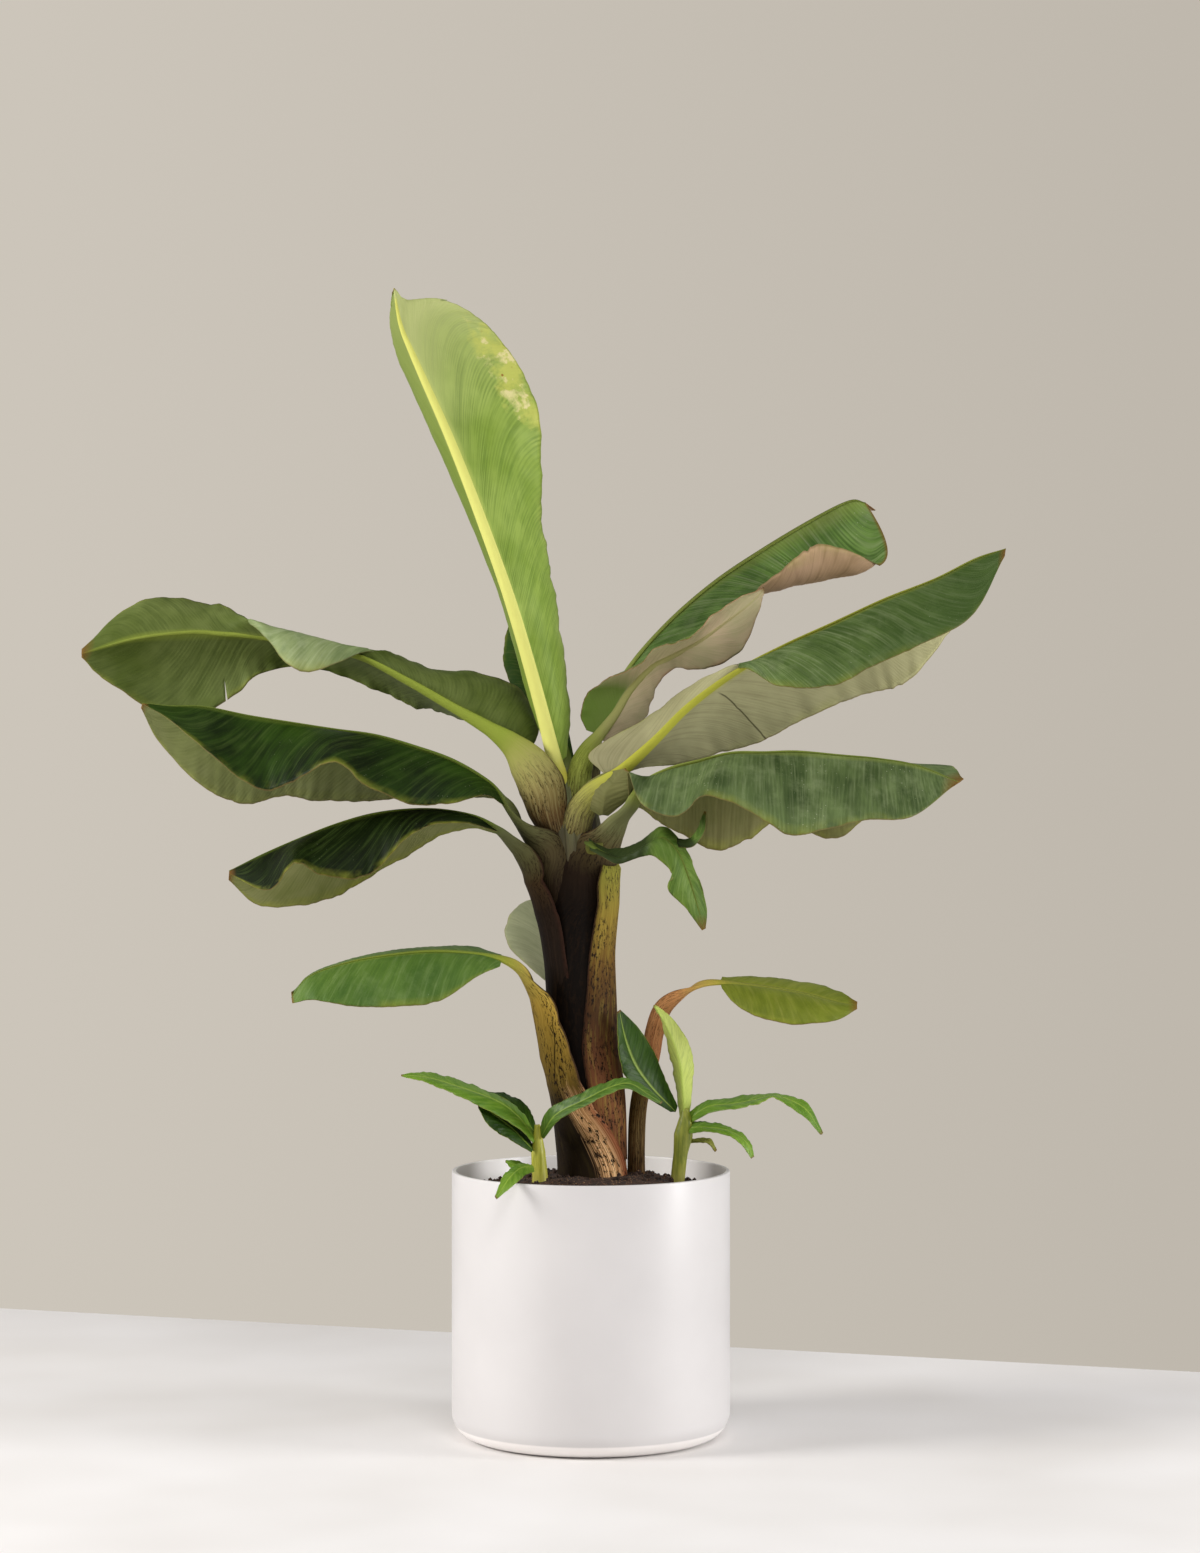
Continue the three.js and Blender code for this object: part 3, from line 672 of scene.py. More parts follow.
def fibrousFoot(f, m, colour):
    # gold fibres on one side of the foot, near black on the other
    strands = f.noise(f.at(m.run * 9, m.across * 60, 1), 1, 4, .6)
    foot = 1 - (f.part(f.place(), "Z") + (m.grain - .5) * .05).over(.35, .39)
    colour = f.blend(foot * .9, colour, marks["footDark"])
    gold = foot * (m.across + (strands - .5) * .3).over(.54, .68)
    colour = f.blend(gold * strands.over(.3, .46), colour, marks["footGold"])
    colour = f.blend(gold * strands.over(.46, .6), colour, marks["footPale"])
    return f.blend(gold * (m.across + (strands - .5) * .2).over(.84, .95) * .8, colour, marks["footRed"])


def leafFinish(leaf, chosen, name):
    f, looks = Finish(name), {**plainLooks, **chosen}
    m = leafMaps(f, leaf)
    colour = f.blend(m.stalk, bladeTone(f, m, looks), rodTone(f, m, looks))
    height = m.ripple * .3 + m.streaks * .5 + f.noise(f.place(), 260, 3) * .2
    height = height * (1 - m.stalk) + m.grain * m.stalk * 2
    rough = (looks["rough"] + m.under * .12 + (m.streaks - .5) * .14 + m.stalk * .06).clamped()
    bump = f.bump(height, .4, .0008)
    return f.show(Base_Color=colour, Roughness=rough, Specular_IOR_Level=looks["gloss"], Normal=bump)


def barkFinish():
    # the trunk: packed leaf bases, near black between, with rusty fibres at the foot
    f = Finish("trunk bases")
    tall = f.tallPlace(.06)
    height = f.part(f.place(), "Z")
    fibres = f.noise(tall, 260, 4, .65)
    broad = f.noise(tall, 60, 3, .6)
    colour = f.blend(broad.over(.35, .7), (34, 22, 14), (74, 48, 28))
    colour = f.blend(fibres.over(.5, .75) * .5, colour, (104, 72, 44))
    colour = f.blend((1 - height.over(.28, .42)) * broad.over(.4, .6) * .8, colour, (128, 70, 36))
    colour = f.blend((1 - height.over(.27, .35)) * fibres.over(.52, .7), colour, (176, 128, 76))
    colour = f.blend(height.over(.6, .7) * broad.over(.35, .6) * .7, colour, (120, 130, 84))
    colour = f.blend(f.noise(tall, 420, 3, .7).over(.64, .7) * .7, colour, (20, 12, 8))
    bump = f.bump(fibres + broad * .5, .7, .0015)
    return f.show(Base_Color=colour, Roughness=.62 + fibres * .2, Normal=bump)


def glazeFinish():
    f = Finish("white glaze")
    place = f.place()
    flat = f.at(f.part(place, "X"), f.part(place, "Y"), 0)
    out = f.node("VectorMath", {"operation": "LENGTH"}, {0: flat}, output="Value")
    # painted light: the inside of the pot gets a paler glaze to brighten the inner wall, which the lights
    # leave too dark
    inside = 1 - out.over(potShape["radius"] - .004, potShape["radius"] - .003)
    colour = f.blend(f.noise(place, 9, 3).over(.3, .7), (210, 207, 207), (216, 213, 213))
    colour = f.blend(inside, colour, (250, 246, 244))
    return f.show(
        Base_Color=colour, Roughness=.36 + f.noise(place, 40, 3) * .08,
        Coat_Weight=.25, Coat_Roughness=.22, Specular_IOR_Level=.45,
        Normal=f.bump(f.noise(place, 900, 2), .08, .0003),
    )


def soilFinish():
    f = Finish("potting soil")
    lumps = f.noise(f.place(), 90, 5, .7)
    grit = f.noise(f.place(), 420, 3, .6)
    colour = f.blend(lumps.over(.35, .7), (26, 15, 10), (70, 44, 29))
    colour = f.blend(grit.over(.59, .65) * .7, colour, (170, 128, 90))
    return f.show(Base_Color=colour, Roughness=.82 + grit * .15, Normal=f.bump(lumps + grit, 1, .003))


def stemFinish(name, dark, light):
    f = Finish(name)
    streaks = f.noise(f.tallPlace(.12), 300, 3, .6)
    colour = f.blend(streaks.over(.35, .7), dark, light)
    foot = 1 - f.part(f.place(), "Z").over(.278, .3)
    colour = f.blend(foot * .6, colour, (150, 138, 70))
    return f.show(Base_Color=colour, Roughness=.4 + streaks * .1, Normal=f.bump(streaks, .3, .0006))


freshLooks = {
    # the far half's tone here is painted shade, for the half that turns away from the light
    "dark": (100, 128, 40), "light": (134, 158, 62), "bloom": (176, 188, 110), "farPaintedShade": (104, 122, 44),
    "rib": (218, 218, 120), "ribTip": (196, 196, 92),
    "under": (124, 150, 52), "flush": (154, 176, 84), "shade": (84, 114, 30), "underTip": (196, 200, 136),
    "base": [(0, (222, 216, 92)), (.05, (190, 188, 80)), (.1, (120, 110, 50))],
    "grain": (150, 150, 60), "gleam": (236, 230, 130), "edge": (120, 130, 50),
    "streaks": .5, "bars": .55, "veins": .45, "underVeins": .4, "underStreaks": .4,
    "paleFrom": .5, "paleTo": .74, "tired": .3, "burn": .985, "rough": .44,
    "patch": {"run": .38, "long": .07, "across": -.92, "wide": .26, "colour": (196, 198, 96)},
}
# leaf_left_middle: the upper side's dark, light and bloom greens are painted shade, darkened to near black
# for the shade on this leaf
shadedLooks = {
    "dark": (8, 22, 1), "light": (38, 62, 10), "bloom": (76, 94, 44),
    "rib": (96, 112, 42), "ribTip": (104, 118, 50),
    "under": (114, 122, 70), "flush": (128, 134, 86), "shade": (84, 92, 46),
    "base": [(0, (104, 112, 60)), (.03, (100, 102, 64)), (.07, (82, 72, 46)), (.11, (46, 34, 22))],
    "grain": (34, 22, 14), "gleam": (80, 72, 46), "edge": (122, 104, 62),
    "wing": (52, 30, 20), "wingFrom": .88, "dust": .12, "specks": .2, "gloss": .1,
}
twistLooks = {
    **shadedLooks,
    "dark": (104, 122, 76), "light": (148, 160, 112), "bloom": (172, 182, 148), "dust": .4,
    "rib": (134, 148, 56), "ribTip": (130, 142, 60),
    "under": (76, 90, 34), "flush": (104, 116, 62), "shade": (52, 66, 22),
    "base": [(0, (140, 146, 66)), (.03, (156, 152, 88)), (.06, (142, 128, 78)), (.085, (100, 76, 44)),
             (.12, (54, 36, 22))],
    "grain": (104, 92, 52), "gleam": (176, 168, 118), "wing": (62, 38, 30), "wingFrom": .8,
}
# leaf_left_lower: the upper side's near-black dark and light greens are painted shade
lowerShadedLooks = {
    **shadedLooks,
    "dark": (3, 6, 0), "light": (18, 32, 4), "under": (114, 120, 62), "flush": (140, 142, 92),
    "base": [(0, (96, 100, 66)), (.04, (92, 90, 56)), (.075, (74, 56, 34)), (.12, (42, 30, 22)),
             (.2, (26, 18, 14))],
    "grain": (20, 14, 10), "gleam": (60, 44, 30), "tired": .8, "gloss": .08,
}
brightLooks = {
    **shadedLooks,
    "dark": (62, 92, 34), "light": (88, 116, 48), "bloom": (126, 146, 92),
    "rib": (140, 156, 56), "dust": .4,
    "base": [(0, (150, 156, 56)), (.03, (178, 162, 76)), (.07, (184, 150, 62)), (.14, (134, 106, 40)),
             (.19, (66, 48, 20))],
    "grain": (96, 84, 30), "gleam": (178, 156, 78), "wing": (70, 46, 24), "wingFrom": .92, "spots": 1,
    "fibre": True, "scar": {"across": .8, "slope": 4.5, "from": .085, "to": .155},
}
dustyLooks = {
    **shadedLooks,
    "dark": (66, 88, 40), "light": (96, 118, 62), "bloom": (138, 150, 110),
    "rib": (134, 146, 68), "under": (132, 130, 92), "flush": (150, 142, 108), "shade": (104, 104, 66),
    "dust": .42, "specks": .7, "streaks": .4,
}
rearLooks = {**dustyLooks, "under": (146, 150, 118), "flush": (160, 162, 130), "shade": (120, 126, 92)}
# leaf_rear_upper keeps the painted-shade upper greens of leaf_left_middle
rearUpperLooks = {**shadedLooks, "under": (34, 60, 14), "flush": (44, 74, 20)}
behindLooks = {
    **dustyLooks,
    "dark": (58, 86, 34), "light": (118, 152, 74), "bars": .65, "veins": .6, "streaks": .6,
    "under": (176, 146, 112), "flush": (196, 164, 134), "shade": (146, 120, 88),
}
raisedLooks = {
    **dustyLooks,
    "dark": (58, 78, 34), "tipTone": (50, 72, 26), "rib": (170, 170, 62), "ribTip": (120, 130, 52),
    "bars": .6, "veins": .5, "streaks": .5,
    "under": (140, 136, 102), "flush": (166, 162, 124), "shade": (112, 106, 76),
    "underTip": (196, 194, 146),
    "crease": {"run": .148, "lean": .03},
    "base": [(0, (168, 168, 66)), (.03, (150, 148, 74)), (.06, (128, 120, 74)), (.09, (98, 80, 46))],
    "gleam": (190, 186, 100), "wing": (66, 44, 26), "wingFrom": .86,
}
levelLooks = {
    **dustyLooks,
    "dark": (48, 64, 32), "light": (98, 116, 70), "bars": .25, "smudge": .14, "veins": .35, "burn": .96,
    "under": (100, 102, 58), "flush": (118, 116, 74), "shade": (72, 74, 38),
    "base": [(0, (112, 116, 74)), (.03, (120, 122, 80)), (.06, (86, 74, 46)), (.1, (36, 25, 16)),
             (.15, (12, 8, 6))],
    "gleam": (34, 24, 16), "wing": (66, 42, 22), "wingFrom": .9, "gloss": .07,
}
paleLooks = {
    **dustyLooks,
    "dark": (84, 104, 40), "light": (112, 132, 52), "heart": (84, 124, 18),
    "rib": (178, 178, 110), "ribTip": (176, 160, 124),
    "under": (186, 182, 138), "flush": (214, 192, 160), "shade": (172, 168, 124),
    "edge": (150, 100, 70), "tired": .8, "tiredTone": (186, 142, 110),
    "base": [(0, (172, 178, 96)), (.03, (148, 160, 66)), (.06, (128, 136, 60)), (.09, (92, 80, 44))],
    "grain": (110, 110, 48), "gleam": (188, 190, 110),
}
curledLooks = {
    **shadedLooks,
    "dark": (54, 82, 24), "light": (98, 124, 50), "bloom": (136, 152, 92), "start": (44, 56, 26),
    "under": (108, 116, 70), "burn": .93,
    "base": [(0, (70, 84, 36)), (.03, (112, 112, 54)), (.06, (134, 134, 52)), (.13, (140, 118, 46)),
             (.18, (98, 70, 28)), (.24, (60, 38, 20)), (.28, (92, 56, 34)), (.34, (110, 66, 40))],
    "grain": (88, 62, 24), "gleam": (168, 150, 64), "wing": (62, 36, 22), "spots": 1,
}
oldLooks = {
    **shadedLooks,
    "dark": (92, 104, 28), "light": (120, 130, 42), "bloom": (146, 146, 70), "rib": (150, 150, 60),
    "under": (120, 122, 48), "flush": (138, 128, 54), "shade": (96, 88, 34),
    "base": [(0, (170, 160, 64)), (.02, (196, 170, 84)), (.05, (206, 146, 92)), (.12, (176, 116, 76)),
             (.17, (92, 74, 34)), (.24, (70, 50, 26))],
    "grain": (150, 96, 54), "gleam": (214, 180, 120), "wing": (120, 84, 48),
    "tired": .9, "burn": .9, "rim": .9,
}
dryLooks = {**oldLooks, "dark": (128, 132, 54), "light": (150, 150, 76)}
youngLooks = {
    "dark": (72, 112, 20), "light": (112, 148, 42), "bloom": (150, 176, 84),
    "rib": (168, 190, 80), "ribTip": (148, 172, 60),
    "under": (126, 152, 66), "flush": (146, 168, 84), "shade": (96, 122, 44), "edge": (150, 160, 70),
    "base": [(0, (170, 180, 60)), (.03, (160, 170, 60))], "grain": (150, 150, 60), "gleam": (190, 200, 90),
    "dust": .1, "specks": .05, "tired": .2, "streaks": .3, "rough": .42, "gloss": .3,
}
archLooks = {
    **youngLooks,
    "dark": (44, 76, 16), "light": (84, 118, 40), "under": (96, 126, 56), "flush": (120, 146, 78),
}
youngDarkLooks = {
    **youngLooks,
    "dark": (18, 42, 3), "light": (48, 78, 14), "bloom": (74, 100, 38), "gloss": .18,
}
spearLooks = {
    **youngLooks,
    "dark": (150, 174, 62), "light": (190, 204, 92), "under": (170, 188, 80), "flush": (192, 204, 106),
}


print("stage: trunk")
trunkShape = {
    "line": [
        (.006, 0, .242), (.006, 0, .278), (-.002, 0, .368), (-.009, 0, .426), (-.011, 0, .502),
        (-.013, 0, .59), (-.019, 0, .664), (-.023, 0, .708), (-.025, 0, .732),
    ],
    "width": [.034, .034, .034, .033, .033, .033, .03, .022, .01],
    "rows": 240, "columns": 161,
    "layers": 5, "step": .0022, "spiral": 1.1,      # leaf bases round the trunk, and how they climb
    "footShare": .12, "footFlare": .006, "footLobes": 5,
}


def makeTrunk():
    shape = trunkShape
    shares = np.linspace(0, 1, shape["rows"])
    centre = alongLine(shape["line"], shares)
    angle = np.linspace(0, 2 * math.pi, shape["columns"])
    up = shares[:, None]
    width = alongValues(shape["width"], shares)[:, None] * np.ones(len(angle))
    # overlapping leaf bases: each wraps round in a slow spiral and ends in a raised edge
    turn = up * shape["spiral"] + angle / (2 * math.pi) * shape["layers"]
    width += shape["step"] * (turn % 1 - .5)
    width += .0008 * np.sin(angle * 23) + .0005 * np.sin(angle * 41 + 3 * up)
    foot = np.clip((shape["footShare"] - up) / shape["footShare"], 0, 1)
    width += foot ** 2 * shape["footFlare"] * (1 + np.sin(angle * shape["footLobes"])) / 2
    around = np.stack([width * np.cos(angle), width * np.sin(angle), np.zeros(width.shape)], axis=-1)
    run = runLength(centre)[:, None] * np.ones(len(angle))
    trunk = gridPiece("trunk", *width.shape, centre[:, None, :] + around, {"along": run}, wrap=True)
    settle(joinPieces("trunk_bases", [trunk]), barkFinish(), "pseudostem")


print("stage: pot and soil")
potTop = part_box("pot")[1]
potShape = {
    "radius": round(potTop.x, 4), "height": round(potTop.z, 4),
    "wall": .005, "base": .008, "sides": 160,
    "corner": .028, "cornerSteps": 14, "innerSteps": 10,
    "rimRound": .0014, "rimSteps": 4,
    "smoothAngle": 40,
}
close = .0001            # how near to a level a point counts as on it


def makePot():
    shape = potShape
    radius, height, wall, base = (shape[name] for name in ("radius", "height", "wall", "base"))
    deselectAll()
    bpy.ops.mesh.primitive_cylinder_add(
        vertices=shape["sides"], radius=radius, depth=height, location=(0, 0, height / 2)
    )
    pot = bpy.context.object
    bpy.ops.object.transform_apply()

    def roundOff(wanted, offset, segments):
        selectEdges(pot, wanted)
        bpy.ops.mesh.bevel(offset=offset, segments=segments, profile=.5, affect="EDGES")

    def nearWall(p, out):
        return math.hypot(p.x, p.y) > out - .001

    selectFaces(pot, lambda face: face.normal.z > .9)
    bpy.ops.mesh.inset(thickness=wall, depth=0)
    bpy.ops.mesh.extrude_region_move(TRANSFORM_OT_translate={"value": (0, 0, base - height)})
    roundOff(lambda p: p.z < close and nearWall(p, radius), shape["corner"], shape["cornerSteps"])
    inner = radius - wall
    innerCorner = shape["corner"] - wall
    roundOff(lambda p: abs(p.z - base) < close and nearWall(p, inner), innerCorner, shape["innerSteps"])
    roundOff(lambda p: p.z > height - close, shape["rimRound"], shape["rimSteps"])
    bpy.ops.object.mode_set(mode="OBJECT")
    pot = joinPieces("white_pot", [pot])
    bpy.ops.object.shade_smooth_by_angle(angle=math.radians(shape["smoothAngle"]))
    settle(pot, glazeFinish(), "pot")


soilShape = {
    "edge": .265, "crown": .288, "crownRadius": .052, "swell": 1.2, "settled": .001, "lumps": .0016,
    "gap": .0004,            # between the soil and the pot
    "pole": .0004,           # radius of the small ring in the middle, which is filled
    "rings": 60, "sides": 145, "wallRows": 6, "cornerRows": 8,
    "crumbs": 420, "crumbSize": .0012, "crumbSpread": .0026, "seed": 5,
}


def soilHeight(x, y):
    shape = soilShape
    crown, crownRadius = shape["crown"], shape["crownRadius"]
    out = np.clip((np.hypot(x, y) - crownRadius) / (potShape["radius"] - crownRadius), 0, 1)
    lumps = shape["lumps"] * wander(x * 110 + 3 * np.sin(y * 60), 11) * np.cos(y * 95)
    return crown - (crown - shape["edge"]) * out ** shape["swell"] + lumps - shape["settled"]


def makeSoil():
    # the bed is a half section turned round: its lumpy top, down the wall and round the pot's corner
    shape = soilShape
    rings, wallRows, pole = shape["rings"], shape["wallRows"], shape["pole"]
    radius = potShape["radius"] - potShape["wall"] - shape["gap"]
    corner = potShape["corner"] - potShape["wall"]
    floor = potShape["base"] + shape["gap"]
    angle = np.linspace(0, 2 * math.pi, shape["sides"])
    arc = np.linspace(0, math.pi / 2, shape["cornerRows"])[1:]
    wall = np.linspace(shape["edge"] - .01, floor + corner, wallRows)
    out = np.concatenate([
        np.linspace(pole, radius, rings), np.full(wallRows, radius),
        radius - corner + corner * np.cos(arc), [pole],
    ])
    level = np.concatenate([wall, floor + corner - corner * np.sin(arc), [floor]])
    x, y = out[:, None] * np.cos(angle), out[:, None] * np.sin(angle)
    z = np.concatenate([soilHeight(x, y)[:rings], level[:, None] * np.ones(len(angle))])
    bed = gridPiece("soil_bed", len(out), len(angle), np.stack([x, y, z], axis=-1), {}, wrap=True)
    settle(joinPieces("soil_crumbly", [bed, *makeCrumbs(radius)]), soilFinish(), "potting_soil")


def makeCrumbs(radius):
    shape, rng, crumbs = soilShape, random.Random(soilShape["seed"]), []
    deselectAll()
    bpy.ops.mesh.primitive_ico_sphere_add(subdivisions=1, radius=1)
    crumb = bpy.context.object
    for index in range(shape["crumbs"]):
        far = radius * math.sqrt(rng.random()) * .97
        turn = rng.random() * 2 * math.pi
        x, y = far * math.cos(turn), far * math.sin(turn)
        size = shape["crumbSize"] + shape["crumbSpread"] * rng.random() ** 2
        middle = Vector((x, y, float(soilHeight(np.array(x), np.array(y))) + size * .3))
        piece = crumb.copy()
        piece.data = crumb.data.copy()
        scene.collection.objects.link(piece)
        for vertex in piece.data.vertices:
            vertex.co = vertex.co * size * rng.uniform(.7, 1.2) + middle
        crumbs.append(piece)
    bpy.data.objects.remove(crumb)
    return crumbs


print("stage: leaf shapes")
topLeaf = {
    "node": "leaf_top",
    "rows": 210, "upper": -1, "lean": .07, "ribWidth": .0085, "waves": .002, "ragged": .004,
    "tears": [(.77, -1, .9, .002)],
    "stalk": [
        ((-.025, -.004, .653), .012, .01, 90, 90, .008),
        ((-.031, -.008, .697), .012, .01, 90, 90, .01),
        ((-.037, -.016, .73), .0095, .008, 90, 90, .01),
    ],
    "rib": [
        (-.037, -.016, .73), (-.054, -.036, .799), (-.085, -.056, .907), (-.118, -.06, 1),
        (-.152, -.054, 1.087), (-.191, -.04, 1.175), (-.207, -.03, 1.214), (-.215, -.02, 1.255),
    ],
    "near": [
        (-.027, -.012, .744), (-.024, -.006, .8), (-.038, .005, .91), (-.054, .012, 1.005),
        (-.058, .005, 1.123), (-.098, 0, 1.2), (-.149, -.006, 1.24), (-.2, -.014, 1.24),
        (-.213, -.018, 1.252),
    ],
    "nearMid": [
        (-.032, -.016, .739), (-.035, -.032, .799), (-.054, -.038, .908), (-.081, -.038, 1.001),
        (-.113, -.028, 1.122), (-.156, -.016, 1.2), (-.187, -.018, 1.232), (-.205, -.019, 1.241),
        (-.214, -.019, 1.254),
    ],
    "far": [
        (-.042, -.01, .736), (-.06, 0, .8), (-.088, .024, .911), (-.119, .04, 1.011),
        (-.155, .048, 1.096), (-.195, .044, 1.165), (-.213, .028, 1.207), (-.218, -.008, 1.231),
        (-.217, -.022, 1.25),
    ],
    "farMid": [
        (-.04, -.014, .734), (-.067, -.018, .806), (-.098, -.018, .915), (-.136, -.012, 1.012),
        (-.177, -.002, 1.105), (-.211, .005, 1.182), (-.219, 0, 1.221), (-.217, -.014, 1.239),
        (-.216, -.021, 1.252),
    ],
}

leftUpperLeaf = {
    "node": "leaf_left_upper",
    "rows": 210, "upper": -1, "lean": .05, "ribWidth": .0062, "waves": .003, "ragged": .005,
    "tears": [(.72, 1, .7, .002)],
    "stalk": [
        ((-.031, -.002, .64), .015, .015, 110, 60, .003),
        ((-.037, -.008, .661), .017, .016, 100, 60, .003),
        ((-.046, -.016, .686), .023, .019, 95, 70, .0035),
        ((-.054, -.024, .713), .026, .019, 92, 80, .005),
        ((-.069, -.027, .738), .022, .015, 90, 88, .007),
        ((-.086, -.025, .757), .014, .01, 90, 90, .009),
    ],
    "rib": [
        (-.086, -.025, .757), (-.11, -.022, .774), (-.149, -.012, .797), (-.199, 0, .826),
        (-.254, .012, .854), (-.316, .025, .868), (-.369, .035, .877), (-.406, .04, .88),
        (-.445, .042, .882), (-.506, .04, .875), (-.564, .035, .858),
    ],
    "near": [
        (-.067, -.01, .749), (-.059, .005, .776), (-.087, .025, .825), (-.179, .04, .843),
        (-.241, .01, .86), (-.315, -.028, .836), (-.366, .01, .884), (-.4, .06, .907),
        (-.433, .08, .917), (-.505, .075, .918), (-.564, .037, .863),
    ],
    "nearMid": [
        (-.075, -.022, .76), (-.078, -.01, .79), (-.113, 0, .814), (-.185, .015, .839),
        (-.247, .008, .862), (-.313, 0, .876), (-.368, .015, .893), (-.403, .045, .896),
        (-.438, .055, .902), (-.504, .055, .902), (-.564, .036, .861),
    ],
    "far": [
        (-.093, -.01, .749), (-.121, .03, .776), (-.162, .06, .793), (-.199, .06, .801),
        (-.244, .06, .821), (-.313, .06, .844), (-.367, .06, .837), (-.396, .055, .814),
        (-.454, .045, .783), (-.533, .038, .825), (-.564, .035, .854),
    ],
    "farMid": [
        (-.089, -.018, .751), (-.113, .005, .773), (-.155, .03, .794), (-.199, .04, .813),
        (-.25, .045, .838), (-.315, .05, .855), (-.369, .055, .857), (-.402, .06, .848),
        (-.45, .06, .834), (-.521, .05, .85), (-.564, .035, .856),
    ],
}

leftMiddleLeaf = {
    "node": "leaf_left_middle",
    "rows": 190, "upper": -1, "lean": .07, "ribWidth": .0045, "waves": .0016, "ragged": .006,
    "stalk": [
        ((-.015, .002, .532), .034, .034, 160, -20, .003),
        ((-.02, 0, .582), .033, .033, 155, -18, .003),
        ((-.033, -.006, .622), .027, .025, 130, 5, .003),
        ((-.049, -.016, .649), .02, .018, 105, 75, .004),
        ((-.069, -.028, .671), .016, .013, 95, 88, .006),
        ((-.09, -.041, .695), .009, .007, 90, 90, .007),
    ],
    "rib": [
        (-.09, -.041, .695), (-.108, -.045, .716), (-.147, -.046, .74), (-.191, -.044, .756),
        (-.234, -.04, .768), (-.278, -.035, .774), (-.322, -.028, .781), (-.372, -.018, .789),
        (-.423, -.008, .799), (-.462, .002, .8), (-.493, .008, .803),
    ],
    "near": [
        (-.093, -.048, .691), (-.115, -.07, .702), (-.151, -.085, .693), (-.193, -.095, .693),
        (-.237, -.11, .712), (-.274, -.13, .738), (-.318, -.108, .716), (-.356, -.095, .709),
        (-.407, -.08, .745), (-.454, -.045, .782), (-.492, .007, .802),
    ],
    "far": [
        (-.088, -.03, .693), (-.108, -.008, .699), (-.145, .02, .699), (-.189, .035, .701),
        (-.248, .05, .695), (-.302, .055, .695), (-.341, .055, .7), (-.391, .06, .692),
        (-.435, .05, .714), (-.477, .035, .759), (-.495, .012, .798),
    ],
}

leftLowerLeaf = {
    "node": "leaf_left_lower",
    "upper": -1, "lean": .06, "ribWidth": .0045, "waves": .002, "ragged": .008,
    "stalk": [
        ((-.002, .002, .313), .036, .036, 190, -8, .003),
        ((-.008, .002, .39), .037, .037, 185, -10, .003),
        ((-.011, .002, .477), .038, .037, 180, -16, .003),
        ((-.015, 0, .532), .038, .037, 175, -20, .003),
        ((-.027, -.004, .584), .037, .035, 165, -18, .0035),
        ((-.048, -.014, .623), .031, .027, 140, 0, .004),
        ((-.075, -.034, .647), .015, .013, 100, 85, .006),
        ((-.098, -.05, .667), .009, .008, 90, 90, .008),
    ],
    "rib": [
        (-.098, -.05, .667), (-.125, -.055, .68), (-.163, -.058, .687), (-.201, -.06, .687),
        (-.238, -.06, .682), (-.276, -.058, .671), (-.314, -.055, .656), (-.354, -.05, .639),
        (-.392, -.045, .62),
    ],
    "near": [
        (-.101, -.058, .663), (-.134, -.078, .672), (-.172, -.095, .67), (-.203, -.108, .65),
        (-.24, -.108, .615), (-.286, -.115, .617), (-.312, -.128, .631), (-.344, -.105, .601),
        (-.392, -.046, .617),
    ],
    "far": [
        (-.101, -.035, .66), (-.132, -.01, .666), (-.166, .01, .656), (-.205, .02, .634),
        (-.249, .025, .608), (-.288, .025, .587), (-.324, .02, .58), (-.365, 0, .581),
        (-.393, -.042, .61),
    ],
}

leftBottomLeaf = {
    "node": "leaf_left_bottom",
    "upper": -1, "lean": .03, "ribWidth": .0034, "waves": .002, "ragged": .004,
    "stalk": [
        ((.003, 0, .254), .04, .04, 200, 75, .0035),
        ((.003, 0, .296), .04, .04, 200, 62, .0035),
        ((.001, 0, .329), .04, .04, 195, 38, .0035),
        ((-.003, -.001, .362), .04, .04, 190, 10, .0035),
        ((-.01, -.004, .396), .04, .039, 180, -4, .0035),
        ((-.023, -.01, .429), .036, .033, 165, -2, .004),
        ((-.039, -.02, .462), .025, .024, 140, 20, .0045),
        ((-.054, -.032, .489), .0155, .015, 105, 80, .005),
        ((-.073, -.043, .514), .009, .009, 92, 88, .008),
        ((-.096, -.052, .526), .005, .005, 90, 90, .006),
    ],
    "rib": [
        (-.096, -.052, .526), (-.125, -.06, .532), (-.168, -.07, .535), (-.21, -.078, .532),
        (-.258, -.085, .524), (-.301, -.092, .509), (-.32, -.095, .486),
    ],
    "near": [
        (-.098, -.058, .517), (-.121, -.085, .508), (-.161, -.108, .483), (-.202, -.122, .478),
        (-.255, -.128, .479), (-.295, -.12, .485), (-.319, -.097, .48),
    ],
    "far": [
        (-.097, -.038, .529), (-.13, -.012, .536), (-.172, .008, .529), (-.216, .012, .523),
        (-.265, .008, .513), (-.304, -.03, .503), (-.32, -.09, .492),
    ],
}

rearLeaf = {
    "node": "leaf_rear",
    "rows": 90, "upper": 1, "lean": .02, "ribWidth": .004, "waves": .002, "ragged": .005,
    "stalk": [
        ((-.01, .014, .355), .016, .014, 90, 90, .005),
        ((-.021, .032, .431), .011, .01, 90, 90, .007),
        ((-.03, .048, .474), .006, .006, 90, 90, .007),
    ],
    "rib": [
        (-.03, .048, .474), (-.037, .072, .495), (-.043, .098, .518), (-.047, .122, .542),
        (-.05, .14, .565), (-.052, .152, .585),
    ],
    "near": [
        (-.039, .052, .485), (-.071, .085, .51), (-.093, .108, .531), (-.096, .128, .555),
        (-.081, .142, .577), (-.053, .152, .585),
    ],
    "far": [
        (-.019, .054, .483), (-.001, .09, .508), (.01, .112, .531), (.01, .13, .558),
        (-.011, .144, .579), (-.049, .152, .585),
    ],
}

